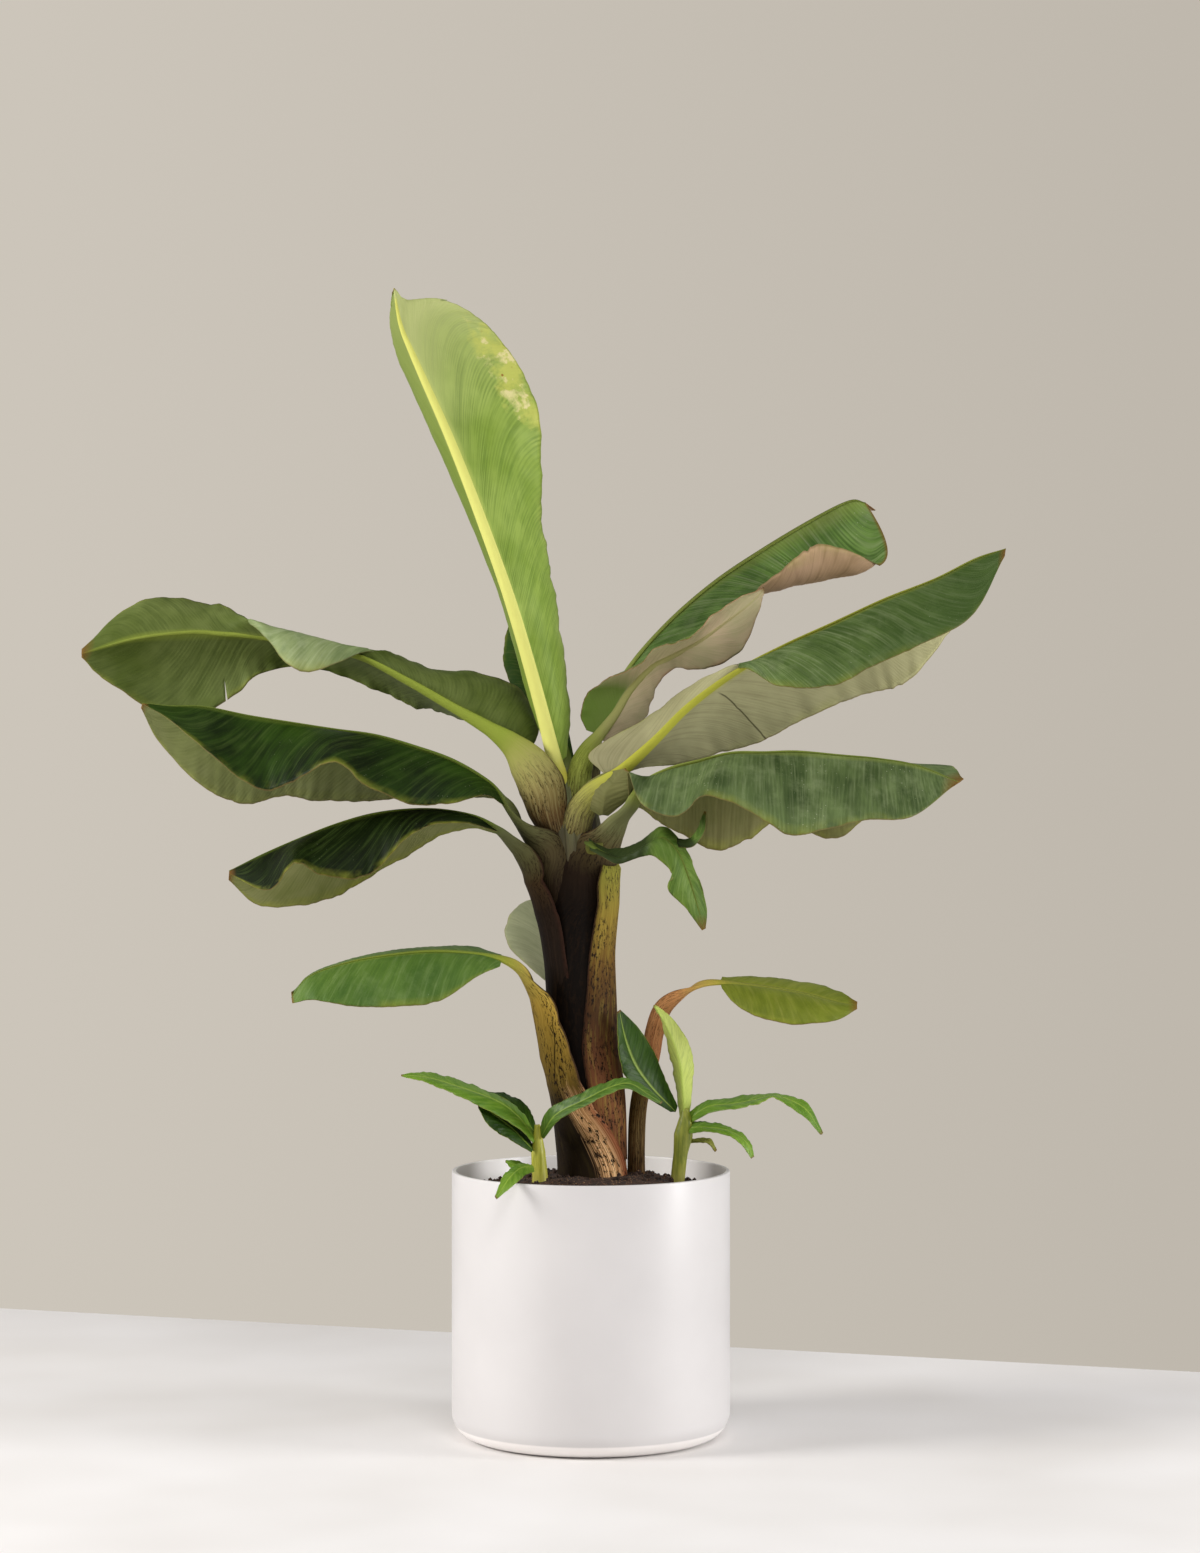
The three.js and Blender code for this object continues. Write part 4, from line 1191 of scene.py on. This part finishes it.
rearUpperLeaf = {
    "node": "leaf_rear_upper",
    "rows": 90, "upper": 1, "lean": .02, "ribWidth": .004, "waves": .002, "ragged": .005,
    "stalk": [
        ((-.019, .014, .675), .01, .009, 90, 90, .007),
        ((-.022, .02, .708), .008, .007, 90, 90, .007),
        ((-.025, .028, .735), .006, .005, 90, 90, .006),
    ],
    "rib": [
        (-.025, .028, .735), (-.039, .058, .786), (-.052, .09, .827), (-.061, .118, .861),
        (-.068, .142, .889), (-.072, .16, .915),
    ],
    "near": [
        (-.034, .028, .739), (-.066, .056, .788), (-.092, .088, .829), (-.099, .116, .863),
        (-.093, .142, .894), (-.074, .16, .915),
    ],
    "far": [
        (-.018, .03, .739), (-.028, .06, .79), (-.035, .092, .831), (-.042, .12, .866),
        (-.05, .144, .894), (-.071, .16, .915),
    ],
}

rightTopLeaf = {
    "node": "leaf_right_top",
    "upper": 1, "lean": .1, "ribWidth": .0042, "waves": .002, "ragged": .005,
    "stalk": [
        ((-.006, .018, .664), .013, .011, 90, 90, .007),
        ((0, .032, .719), .01, .008, 90, 90, .008),
        ((.01, .052, .78), .007, .006, 90, 90, .007),
    ],
    "rib": [
        (.01, .052, .78), (.038, .062, .838), (.081, .074, .89), (.135, .084, .938), (.194, .09, .978),
        (.251, .09, 1.012), (.29, .086, 1.031), (.308, .084, 1.029),
    ],
    "near": [
        (.014, .04, .769), (.054, .03, .816), (.104, .022, .86), (.162, .018, .911),
        (.214, .008, .954), (.246, .006, .977), (.281, .012, .972), (.319, .03, .955),
    ],
    "nearMid": [
        (.012, .046, .774), (.048, .046, .828), (.094, .048, .874), (.156, .046, .915),
        (.214, .04, .932), (.26, .036, .941), (.305, .042, .954), (.329, .052, .98),
    ],
    "far": [
        (.01, .06, .777), (.041, .084, .831), (.087, .104, .879), (.141, .12, .922), (.2, .13, .961),
        (.257, .132, .997), (.3, .122, 1.022), (.32, .096, 1.022),
    ],
}

rightTopInnerLeaf = {
    "node": "leaf_right_top_inner",
    "upper": -1, "lean": .06, "ribWidth": .0045, "waves": .003, "ragged": .008,
    "stalk": [
        ((-.02, -.002, .642), .013, .012, 90, 90, .004),
        ((-.017, -.008, .673), .015, .013, 90, 90, .004),
        ((-.015, -.012, .702), .015, .013, 90, 90, .005),
        ((-.011, -.012, .732), .013, .011, 90, 90, .007),
        ((-.003, -.006, .752), .01, .008, 90, 90, .008),
        ((.009, 0, .768), .007, .006, 90, 90, .007),
    ],
    "rib": [
        (.009, 0, .768), (.026, .002, .79), (.043, .002, .817), (.067, 0, .842), (.089, -.004, .854),
        (.119, -.008, .87), (.148, -.01, .891), (.172, -.011, .909), (.189, -.012, .927),
    ],
    "near": [
        (.016, .008, .758), (.043, .014, .774), (.062, .014, .789), (.071, .01, .82),
        (.089, .006, .839), (.126, .004, .841), (.166, 0, .861), (.183, -.006, .903),
        (.19, -.011, .926),
    ],
    "far": [
        (-.005, -.006, .773), (-.012, -.014, .793), (.001, -.022, .817), (.043, -.028, .841),
        (.073, -.032, .862), (.099, -.032, .87), (.132, -.028, .896), (.16, -.02, .917),
        (.189, -.013, .929),
    ],
}

rightUpperLeaf = {
    "node": "leaf_right_upper",
    "rows": 190, "upper": 1, "lean": .1, "ribWidth": .0058, "waves": .0014, "wavePitch": .08,
    "ragged": .006,
    "stalk": [
        ((-.024, -.002, .627), .016, .015, 90, 90, .003),
        ((-.022, -.009, .646), .016, .014, 88, 90, .003),
        ((-.016, -.018, .668), .017, .015, 88, 90, .004),
        ((-.009, -.028, .688), .016, .013, 90, 90, .005),
        ((.004, -.038, .705), .013, .011, 90, 90, .007),
        ((.023, -.047, .719), .01, .008, 90, 90, .008),
    ],
    "rib": [
        (.023, -.047, .719), (.038, -.05, .732), (.069, -.054, .761), (.107, -.056, .799),
        (.156, -.058, .835), (.21, -.058, .865), (.264, -.056, .89), (.318, -.052, .915),
        (.373, -.046, .937), (.417, -.04, .959), (.451, -.036, .97),
    ],
    "near": [
        (.01, -.042, .729), (0, -.036, .749), (.061, -.025, .786), (.103, -.025, .817),
        (.159, -.06, .84), (.2, -.105, .819), (.255, -.112, .818), (.3, -.108, .839),
        (.35, -.098, .862), (.41, -.075, .895), (.449, -.042, .962),
    ],
    "far": [
        (.034, -.038, .725), (.056, -.03, .732), (.089, 0, .735), (.136, .02, .746),
        (.192, .032, .763), (.253, .036, .794), (.309, .036, .815), (.347, .03, .825),
        (.382, .015, .864), (.421, -.005, .918), (.449, -.032, .967),
    ],
}

rightMiddleLeaf = {
    "node": "leaf_right_middle",
    "rows": 190, "upper": 1, "lean": .015, "ribWidth": .0045, "waves": .0018, "ragged": .006,
    "stalk": [
        ((-.003, 0, .346), .036, .036, 150, 150, .003),
        ((-.011, 0, .478), .0365, .036, 150, 150, .003),
        ((-.014, 0, .554), .037, .036, 110, 150, .003),
        ((-.012, -.002, .593), .037, .035, 56, 150, .003),
        ((-.005, -.006, .622), .036, .033, 62, 140, .003),
        ((.007, -.016, .647), .027, .023, 76, 110, .004),
        ((.019, -.03, .663), .019, .016, 84, 95, .005),
        ((.03, -.044, .68), .0145, .012, 90, 90, .008),
        ((.043, -.057, .694), .012, .01, 90, 90, .009),
    ],
    "rib": [
        (.043, -.057, .694), (.058, -.066, .715), (.083, -.071, .731), (.116, -.075, .74),
        (.151, -.078, .748), (.187, -.078, .749), (.222, -.076, .75), (.268, -.07, .746),
        (.312, -.062, .742), (.354, -.054, .734), (.4, -.044, .716),
    ],
    "near": [
        (.041, -.066, .697), (.04, -.082, .728), (.055, -.098, .692), (.091, -.124, .68),
        (.12, -.14, .702), (.166, -.142, .686), (.209, -.14, .661), (.245, -.132, .665),
        (.291, -.122, .676), (.343, -.1, .679), (.395, -.05, .714),
    ],
    "far": [
        (.047, -.046, .691), (.06, -.026, .684), (.076, -.008, .671), (.103, .008, .657),
        (.137, .018, .641), (.17, .024, .65), (.206, .026, .672), (.27, .024, .654),
        (.323, .014, .697), (.386, -.012, .734), (.405, -.038, .72),
    ],
    "lobes": [
        {
            "rib": [
                (.013, -.044, .681), (.014, -.052, .691), (.017, -.058, .706), (.028, -.06, .72),
                (.039, -.064, .729),
            ],
            "near": [
                (.01, -.042, .68), (-.008, -.038, .693), (-.01, -.038, .71), (.012, -.046, .725),
                (.038, -.062, .731),
            ],
            "far": [
                (.019, -.044, .68), (.036, -.054, .694), (.048, -.066, .707), (.047, -.068, .718),
                (.041, -.066, .728),
            ],
        },
    ],
}

rightCurledLeaf = {
    "node": "leaf_right_curled",
    "rows": 110, "columns": 33, "upper": 1, "lean": .03, "ribWidth": .0026, "waves": .003,
    "ragged": .01,
    "stalk": [
        ((.001, 0, .302), .039, .039, -2, 190, .003),
        ((-.001, 0, .368), .039, .039, 2, 190, .003),
        ((-.008, 0, .428), .039, .0385, 3, 185, .003),
        ((-.011, 0, .488), .039, .038, -10, 180, .003),
        ((-.012, 0, .532), .039, .038, -16, 180, .003),
        ((-.009, -.003, .585), .0405, .039, -24, 160, .003),
        ((-.007, -.006, .609), .0395, .037, -22, 140, .003),
        ((-.003, -.009, .629), .037, .034, -20, 115, .0035),
        ((0, -.013, .64), .029, .026, -15, 100, .004),
        ((.003, -.03, .647), .014, .012, 30, 95, .0045),
        ((.001, -.054, .65), .006, .005, 90, 90, .005),
        ((-.002, -.066, .651), .004, .0035, 90, 90, .004),
    ],
    "rib": [
        (-.002, -.066, .651), (.014, -.08, .641), (.033, -.092, .635), (.058, -.1, .647),
        (.076, -.104, .657), (.093, -.106, .642), (.104, -.106, .617), (.113, -.104, .588),
        (.121, -.1, .559),
    ],
    "near": [
        (-.001, -.072, .643), (.013, -.094, .636), (.029, -.106, .629), (.052, -.112, .636),
        (.068, -.116, .637), (.085, -.118, .62), (.082, -.118, .602), (.101, -.112, .582),
        (.119, -.101, .558),
    ],
    "far": [
        (-.002, -.058, .656), (.012, -.064, .647), (.028, -.07, .643), (.055, -.078, .652),
        (.075, -.084, .666), (.1, -.088, .65), (.11, -.092, .627), (.124, -.096, .585),
        (.123, -.099, .56),
    ],
    "lobes": [
        {
            "rib": [(.091, -.096, .653), (.106, -.1, .652), (.117, -.102, .663), (.122, -.1, .685)],
            "near": [(.093, -.1, .647), (.108, -.106, .648), (.121, -.108, .664), (.123, -.101, .685)],
            "far": [(.09, -.09, .657), (.104, -.092, .656), (.114, -.094, .667), (.121, -.099, .685)],
        },
    ],
}

rightBottomLeaf = {
    "node": "leaf_right_bottom",
    "rows": 110, "columns": 33, "upper": 1, "lean": .03, "ribWidth": .003, "waves": .0025,
    "ragged": .008,
    "stalk": [
        ((.051, .014, .251), .01, .01, 100, 100, .007),
        ((.05, .014, .311), .0095, .009, 100, 100, .007),
        ((.053, .012, .364), .0095, .009, 95, 95, .007),
        ((.065, .008, .411), .01, .008, 90, 90, .008),
        ((.07, .004, .442), .0105, .008, 90, 90, .008),
        ((.079, 0, .468), .01, .0075, 90, 90, .007),
        ((.099, -.006, .486), .008, .006, 90, 90, .006),
        ((.119, -.011, .496), .006, .005, 90, 90, .005),
        ((.141, -.015, .498), .004, .0035, 90, 90, .004),
    ],
    "rib": [
        (.141, -.015, .498), (.168, -.02, .496), (.201, -.026, .492), (.238, -.032, .485),
        (.268, -.037, .477), (.289, -.04, .474),
    ],
    "near": [
        (.143, -.022, .491), (.158, -.044, .474), (.185, -.06, .461), (.225, -.068, .455),
        (.265, -.06, .459), (.289, -.042, .47),
    ],
    "far": [
        (.144, -.004, .503), (.171, .012, .502), (.204, .018, .497), (.243, .012, .494),
        (.268, -.008, .488), (.289, -.038, .478),
    ],
}

shootHabit = {
    "rows": 80, "columns": 21, "lean": .02, "ribWidth": .0014, "waves": .0012, "wavePitch": .03,
    "pleats": .0002, "nearBulge": (0, -.001, .001), "farBulge": (0, .001, .001),
}

leftPupLongLeaf = {
    **shootHabit,
    "node": "left_pup_long_leaf",
    "upper": -1,
    "rib": [
        (-.059, -.046, .329), (-.077, -.055, .354), (-.101, -.065, .373), (-.145, -.075, .39),
        (-.178, -.082, .4), (-.203, -.088, .402),
    ],
    "near": [
        (-.062, -.052, .326), (-.081, -.07, .346), (-.119, -.086, .369), (-.151, -.094, .385),
        (-.179, -.092, .396), (-.203, -.088, .401),
    ],
    "far": [
        (-.06, -.038, .332), (-.073, -.036, .356), (-.096, -.044, .374), (-.141, -.055, .394),
        (-.177, -.068, .404), (-.203, -.087, .403),
    ],
}

leftPupUpperLeaf = {
    **shootHabit,
    "node": "left_pup_upper_leaf",
    "upper": -1,
    "rib": [(-.06, -.04, .335), (-.075, -.03, .355), (-.093, -.02, .37), (-.113, -.012, .377)],
    "near": [(-.062, -.042, .335), (-.083, -.042, .354), (-.101, -.032, .366), (-.113, -.013, .376)],
    "far": [(-.058, -.034, .337), (-.068, -.018, .361), (-.089, -.008, .374), (-.113, -.011, .378)],
}

leftPupLowerLeaf = {
    **shootHabit,
    "node": "left_pup_lower_leaf",
    "upper": -1,
    "rib": [(-.062, -.05, .318), (-.081, -.06, .339), (-.101, -.068, .356), (-.121, -.074, .369)],
    "near": [(-.064, -.054, .316), (-.089, -.074, .333), (-.109, -.08, .347), (-.121, -.075, .366)],
    "far": [(-.062, -.042, .322), (-.078, -.044, .345), (-.098, -.052, .362), (-.121, -.072, .371)],
}

leftPupArchingLeaf = {
    **shootHabit,
    "node": "left_pup_arching_leaf",
    "upper": 1,
    "rib": [
        (-.054, -.048, .332), (-.038, -.07, .358), (-.006, -.086, .376), (.021, -.093, .39),
        (.042, -.096, .394), (.061, -.096, .383), (.076, -.094, .373),
    ],
    "near": [
        (-.051, -.05, .33), (-.033, -.078, .354), (-.003, -.098, .372), (.022, -.104, .385),
        (.041, -.104, .389), (.059, -.102, .38), (.075, -.095, .372),
    ],
    "far": [
        (-.056, -.046, .34), (-.046, -.062, .363), (-.016, -.076, .38), (.017, -.084, .395),
        (.041, -.089, .399), (.064, -.09, .386), (.077, -.093, .374),
    ],
}

leftPupRimLeaf = {
    **shootHabit,
    "node": "left_pup_rim_leaf",
    "upper": -1,
    "rib": [(-.061, -.056, .3), (-.073, -.1, .305), (-.085, -.138, .299), (-.099, -.165, .28)],
    "near": [(-.061, -.058, .295), (-.069, -.102, .297), (-.078, -.14, .293), (-.098, -.165, .279)],
    "far": [(-.064, -.056, .303), (-.079, -.098, .308), (-.093, -.136, .299), (-.1, -.165, .282)],
}

leftPupBudLeaf = {
    **shootHabit,
    "node": "left_pup_bud_leaf",
    "upper": -1,
    "rib": [(-.066, -.036, .295), (-.079, -.044, .3), (-.092, -.05, .306)],
    "near": [(-.067, -.04, .292), (-.082, -.052, .295), (-.092, -.051, .305)],
    "far": [(-.065, -.032, .298), (-.078, -.038, .305), (-.092, -.049, .307)],
}

rightPupBroadLeaf = {
    **shootHabit,
    "node": "right_pup_broad_leaf",
    "upper": -1,
    "rib": [
        (.093, -.016, .356), (.067, -.024, .383), (.049, -.03, .408), (.038, -.034, .436),
        (.031, -.036, .468),
    ],
    "near": [
        (.087, -.018, .356), (.053, -.034, .379), (.036, -.042, .4), (.03, -.044, .43),
        (.029, -.037, .467),
    ],
    "far": [
        (.095, -.012, .362), (.082, -.014, .391), (.069, -.02, .422), (.051, -.028, .45),
        (.032, -.035, .469),
    ],
}

rightPupSpearLeaf = {
    **shootHabit,
    "node": "right_pup_spear_leaf",
    "upper": 1,
    "rib": [
        (.102, -.016, .345), (.1, -.024, .381), (.096, -.028, .414), (.084, -.031, .447),
        (.069, -.032, .474),
    ],
    "near": [
        (.098, -.012, .347), (.093, -.01, .386), (.086, -.014, .42), (.077, -.024, .457),
        (.068, -.031, .473),
    ],
    "far": [
        (.107, -.012, .349), (.111, -.01, .386), (.11, -.014, .422), (.092, -.025, .455),
        (.071, -.032, .474),
    ],
}

rightPupLongLeaf = {
    **shootHabit,
    "node": "right_pup_long_leaf",
    "upper": 1,
    "rib": [
        (.108, -.016, .349), (.128, -.026, .363), (.154, -.036, .367), (.178, -.043, .372),
        (.198, -.048, .377), (.219, -.052, .371), (.235, -.056, .36), (.25, -.06, .336),
    ],
    "near": [
        (.11, -.02, .345), (.132, -.038, .358), (.157, -.052, .363), (.179, -.062, .369),
        (.198, -.064, .376), (.217, -.062, .364), (.233, -.062, .353), (.248, -.061, .336),
    ],
    "far": [
        (.107, -.012, .355), (.124, -.014, .367), (.152, -.02, .372), (.177, -.024, .376),
        (.199, -.032, .377), (.221, -.042, .375), (.237, -.05, .366), (.251, -.059, .338),
    ],
}

rightPupLowerLeaf = {
    **shootHabit,
    "node": "right_pup_lower_leaf",
    "upper": 1,
    "rib": [
        (.107, -.02, .339), (.125, -.032, .341), (.15, -.042, .338), (.168, -.048, .327),
        (.175, -.052, .31),
    ],
    "near": [
        (.107, -.024, .333), (.125, -.042, .337), (.148, -.052, .334), (.164, -.055, .323),
        (.174, -.053, .309),
    ],
    "far": [
        (.108, -.014, .345), (.127, -.022, .346), (.152, -.032, .341), (.172, -.041, .328),
        (.177, -.051, .311),
    ],
}

rightPupDryLeaf = {
    **shootHabit,
    "node": "right_pup_dry_leaf",
    "rows": 50, "columns": 17, "upper": 1,
    "rib": [(.107, -.008, .324), (.118, -.01, .324), (.13, -.012, .323), (.137, -.014, .313)],
    "near": [(.107, -.01, .321), (.118, -.014, .322), (.128, -.016, .321), (.136, -.015, .312)],
    "far": [(.107, -.006, .326), (.119, -.005, .326), (.132, -.008, .325), (.138, -.013, .314)],
}

leftStem = {
    "node": "left_pup_stem",
    "name": "left_shoot_stem",
    "dark": (148, 150, 38), "light": (200, 196, 80),
    "rows": [
        ((-.056, -.042, .25), .0088, .0088, 170, 170, .006),
        ((-.055, -.042, .282), .0088, .0088, 170, 170, .006),
        ((-.057, -.044, .315), .0078, .0078, 170, 170, .006),
        ((-.058, -.046, .345), .003, .003, 170, 170, .003),
    ],
}
rightStem = {
    "node": "right_pup_stem",
    "name": "right_shoot_stem",
    "dark": (110, 122, 34), "light": (162, 164, 60),
    "rows": [
        ((.093, -.012, .25), .0085, .0085, 170, 170, .006),
        ((.095, -.012, .282), .0078, .0075, 170, 170, .006),
        ((.098, -.014, .31), .0078, .0075, 170, 170, .006),
        ((.101, -.015, .33), .0105, .0085, 170, 170, .006),
        ((.103, -.016, .345), .008, .007, 170, 170, .005),
        ((.103, -.016, .36), .0035, .0035, 170, 170, .003),
    ],
}


def growStem(stem):
    def outward(shares):
        return np.tile([0., -1., 0.], (len(shares), 1))

    name = stem["name"]
    piece = joinPieces(name, [makeRod(name, stem["rows"], outward, rodHabit["steps"])])
    finish = stemFinish(name.replace("_", " "), stem["dark"], stem["light"])
    settle(piece, finish, stem["node"])


makePot()
makeSoil()
makeTrunk()

print("stage: main leaves")
mainLeaves = [
    (topLeaf, freshLooks, "light_leaf"),
    (leftUpperLeaf, twistLooks, "dark_leaf"),
    (leftMiddleLeaf, shadedLooks, "dark_leaf"),
    (leftLowerLeaf, lowerShadedLooks, "dark_leaf"),
    (leftBottomLeaf, brightLooks, "dusty_leaf"),
    (rearLeaf, rearLooks, "pale_leaf"),
    (rearUpperLeaf, rearUpperLooks, "dark_leaf"),
    (rightTopLeaf, behindLooks, "dusty_leaf"),
    (rightTopInnerLeaf, paleLooks, "pale_leaf"),
    (rightUpperLeaf, raisedLooks, "dusty_leaf"),
    (rightMiddleLeaf, levelLooks, "dusty_leaf"),
    (rightCurledLeaf, curledLooks, "dusty_leaf"),
    (rightBottomLeaf, oldLooks, "old_leaf"),
]
for leaf, looks, slot in mainLeaves:
    growLeaf(leaf, looks)

print("stage: shoots and their leaves")
growStem(leftStem)
growStem(rightStem)
growLeaf(leftPupArchingLeaf, archLooks)
for leaf in (leftPupLongLeaf, leftPupRimLeaf, leftPupBudLeaf, rightPupLongLeaf, rightPupLowerLeaf):
    growLeaf(leaf, youngLooks)
for leaf in (leftPupUpperLeaf, leftPupLowerLeaf, rightPupBroadLeaf):
    growLeaf(leaf, youngDarkLooks)
growLeaf(rightPupSpearLeaf, spearLooks)
growLeaf(rightPupDryLeaf, dryLooks)

print("stage: floor, wall, light and camera")
floor = {
    "left": (-1.6, 1.16), "right": (1.6, .118), "front": -3.2,     # ends of the back edge, and the front
    "pale": (238, 236, 236), "grey": (226, 223, 221), "rough": .7,
}
wall = {
    "left": (204, 197, 186), "right": (191, 184, 173), "reach": .16,
    "room": (236, 232, 228), "roomStrength": .48,
}
lights = {
    "key": {"place": (-2.7, -.8, 1.6), "aim": .5, "size": 1.2, "power": 74, "colour": (255, 253, 250)},
    "front": {"place": (.5, -2.8, 3.1), "aim": .4, "size": 1.4, "power": 36, "colour": (255, 255, 255)},
    "right": {"place": (2.6, -.7, .9), "aim": .4, "size": .9, "power": 44, "colour": (255, 255, 255)},
}
view = {"place": (.01, -3.8, .725), "lens": 80.3, "sensor": 36, "lift": -.0016}


def makeFloor():
    left, right, front = floor["left"], floor["right"], floor["front"]
    deselectAll()
    bpy.ops.mesh.primitive_grid_add(x_subdivisions=1, y_subdivisions=1, size=1)
    ground = bpy.context.object
    ground.name = "floor"
    for vertex, (x, y) in zip(ground.data.vertices, [(left[0], front), (right[0], front), left, right]):
        vertex.co = (x, y, 0)
    f = Finish("pale floor")
    colour = f.blend(f.noise(f.place(), 3, 2).over(.3, .7), floor["pale"], floor["grey"])
    ground.data.materials.append(f.show(Base_Color=colour, Roughness=floor["rough"]))


def makeWall():
    # the plain wall is the world's own colour as the camera sees it, with a soft light for the rest
    world = bpy.data.worlds.new("wall")
    scene.world = world
    world.use_nodes = True
    w = Nodes(world.node_tree)
    sideways = w.part(w.node("TexCoord", output="Generated"), "X").over(-wall["reach"], wall["reach"])
    seen = w.node("Background", sockets={"Color": w.blend(sideways, wall["left"], wall["right"])})
    room = w.node("Background", sockets={"Color": tone(wall["room"]), "Strength": wall["roomStrength"]})
    camera = w.node("LightPath", output="Is Camera Ray")
    w.node("OutputWorld", sockets={"Surface": w.node("MixShader", sockets={0: camera, 1: room, 2: seen})})


def addLight(name, settings):
    data = bpy.data.lights.new(name, "AREA")
    data.shape, data.size, data.energy = "DISK", settings["size"], settings["power"]
    data.color = linear(settings["colour"])
    lamp = bpy.data.objects.new(name, data)
    scene.collection.objects.link(lamp)
    lamp.location = settings["place"]
    toward = Vector((0, 0, settings["aim"])) - lamp.location     # a height on the plant's middle line
    lamp.rotation_euler = toward.to_track_quat("-Z", "Y").to_euler()


def makeCamera():
    data = bpy.data.cameras.new("camera")
    data.lens, data.sensor_width, data.shift_y = view["lens"], view["sensor"], view["lift"]
    camera = bpy.data.objects.new("camera", data)
    scene.collection.objects.link(camera)
    camera.location = view["place"]
    camera.rotation_euler = (math.pi / 2, 0, 0)
    scene.camera = camera


makeFloor()
makeWall()
for name, settings in lights.items():
    addLight(name, settings)
makeCamera()
scene.view_settings.view_transform = "Standard"

print("stage: done")
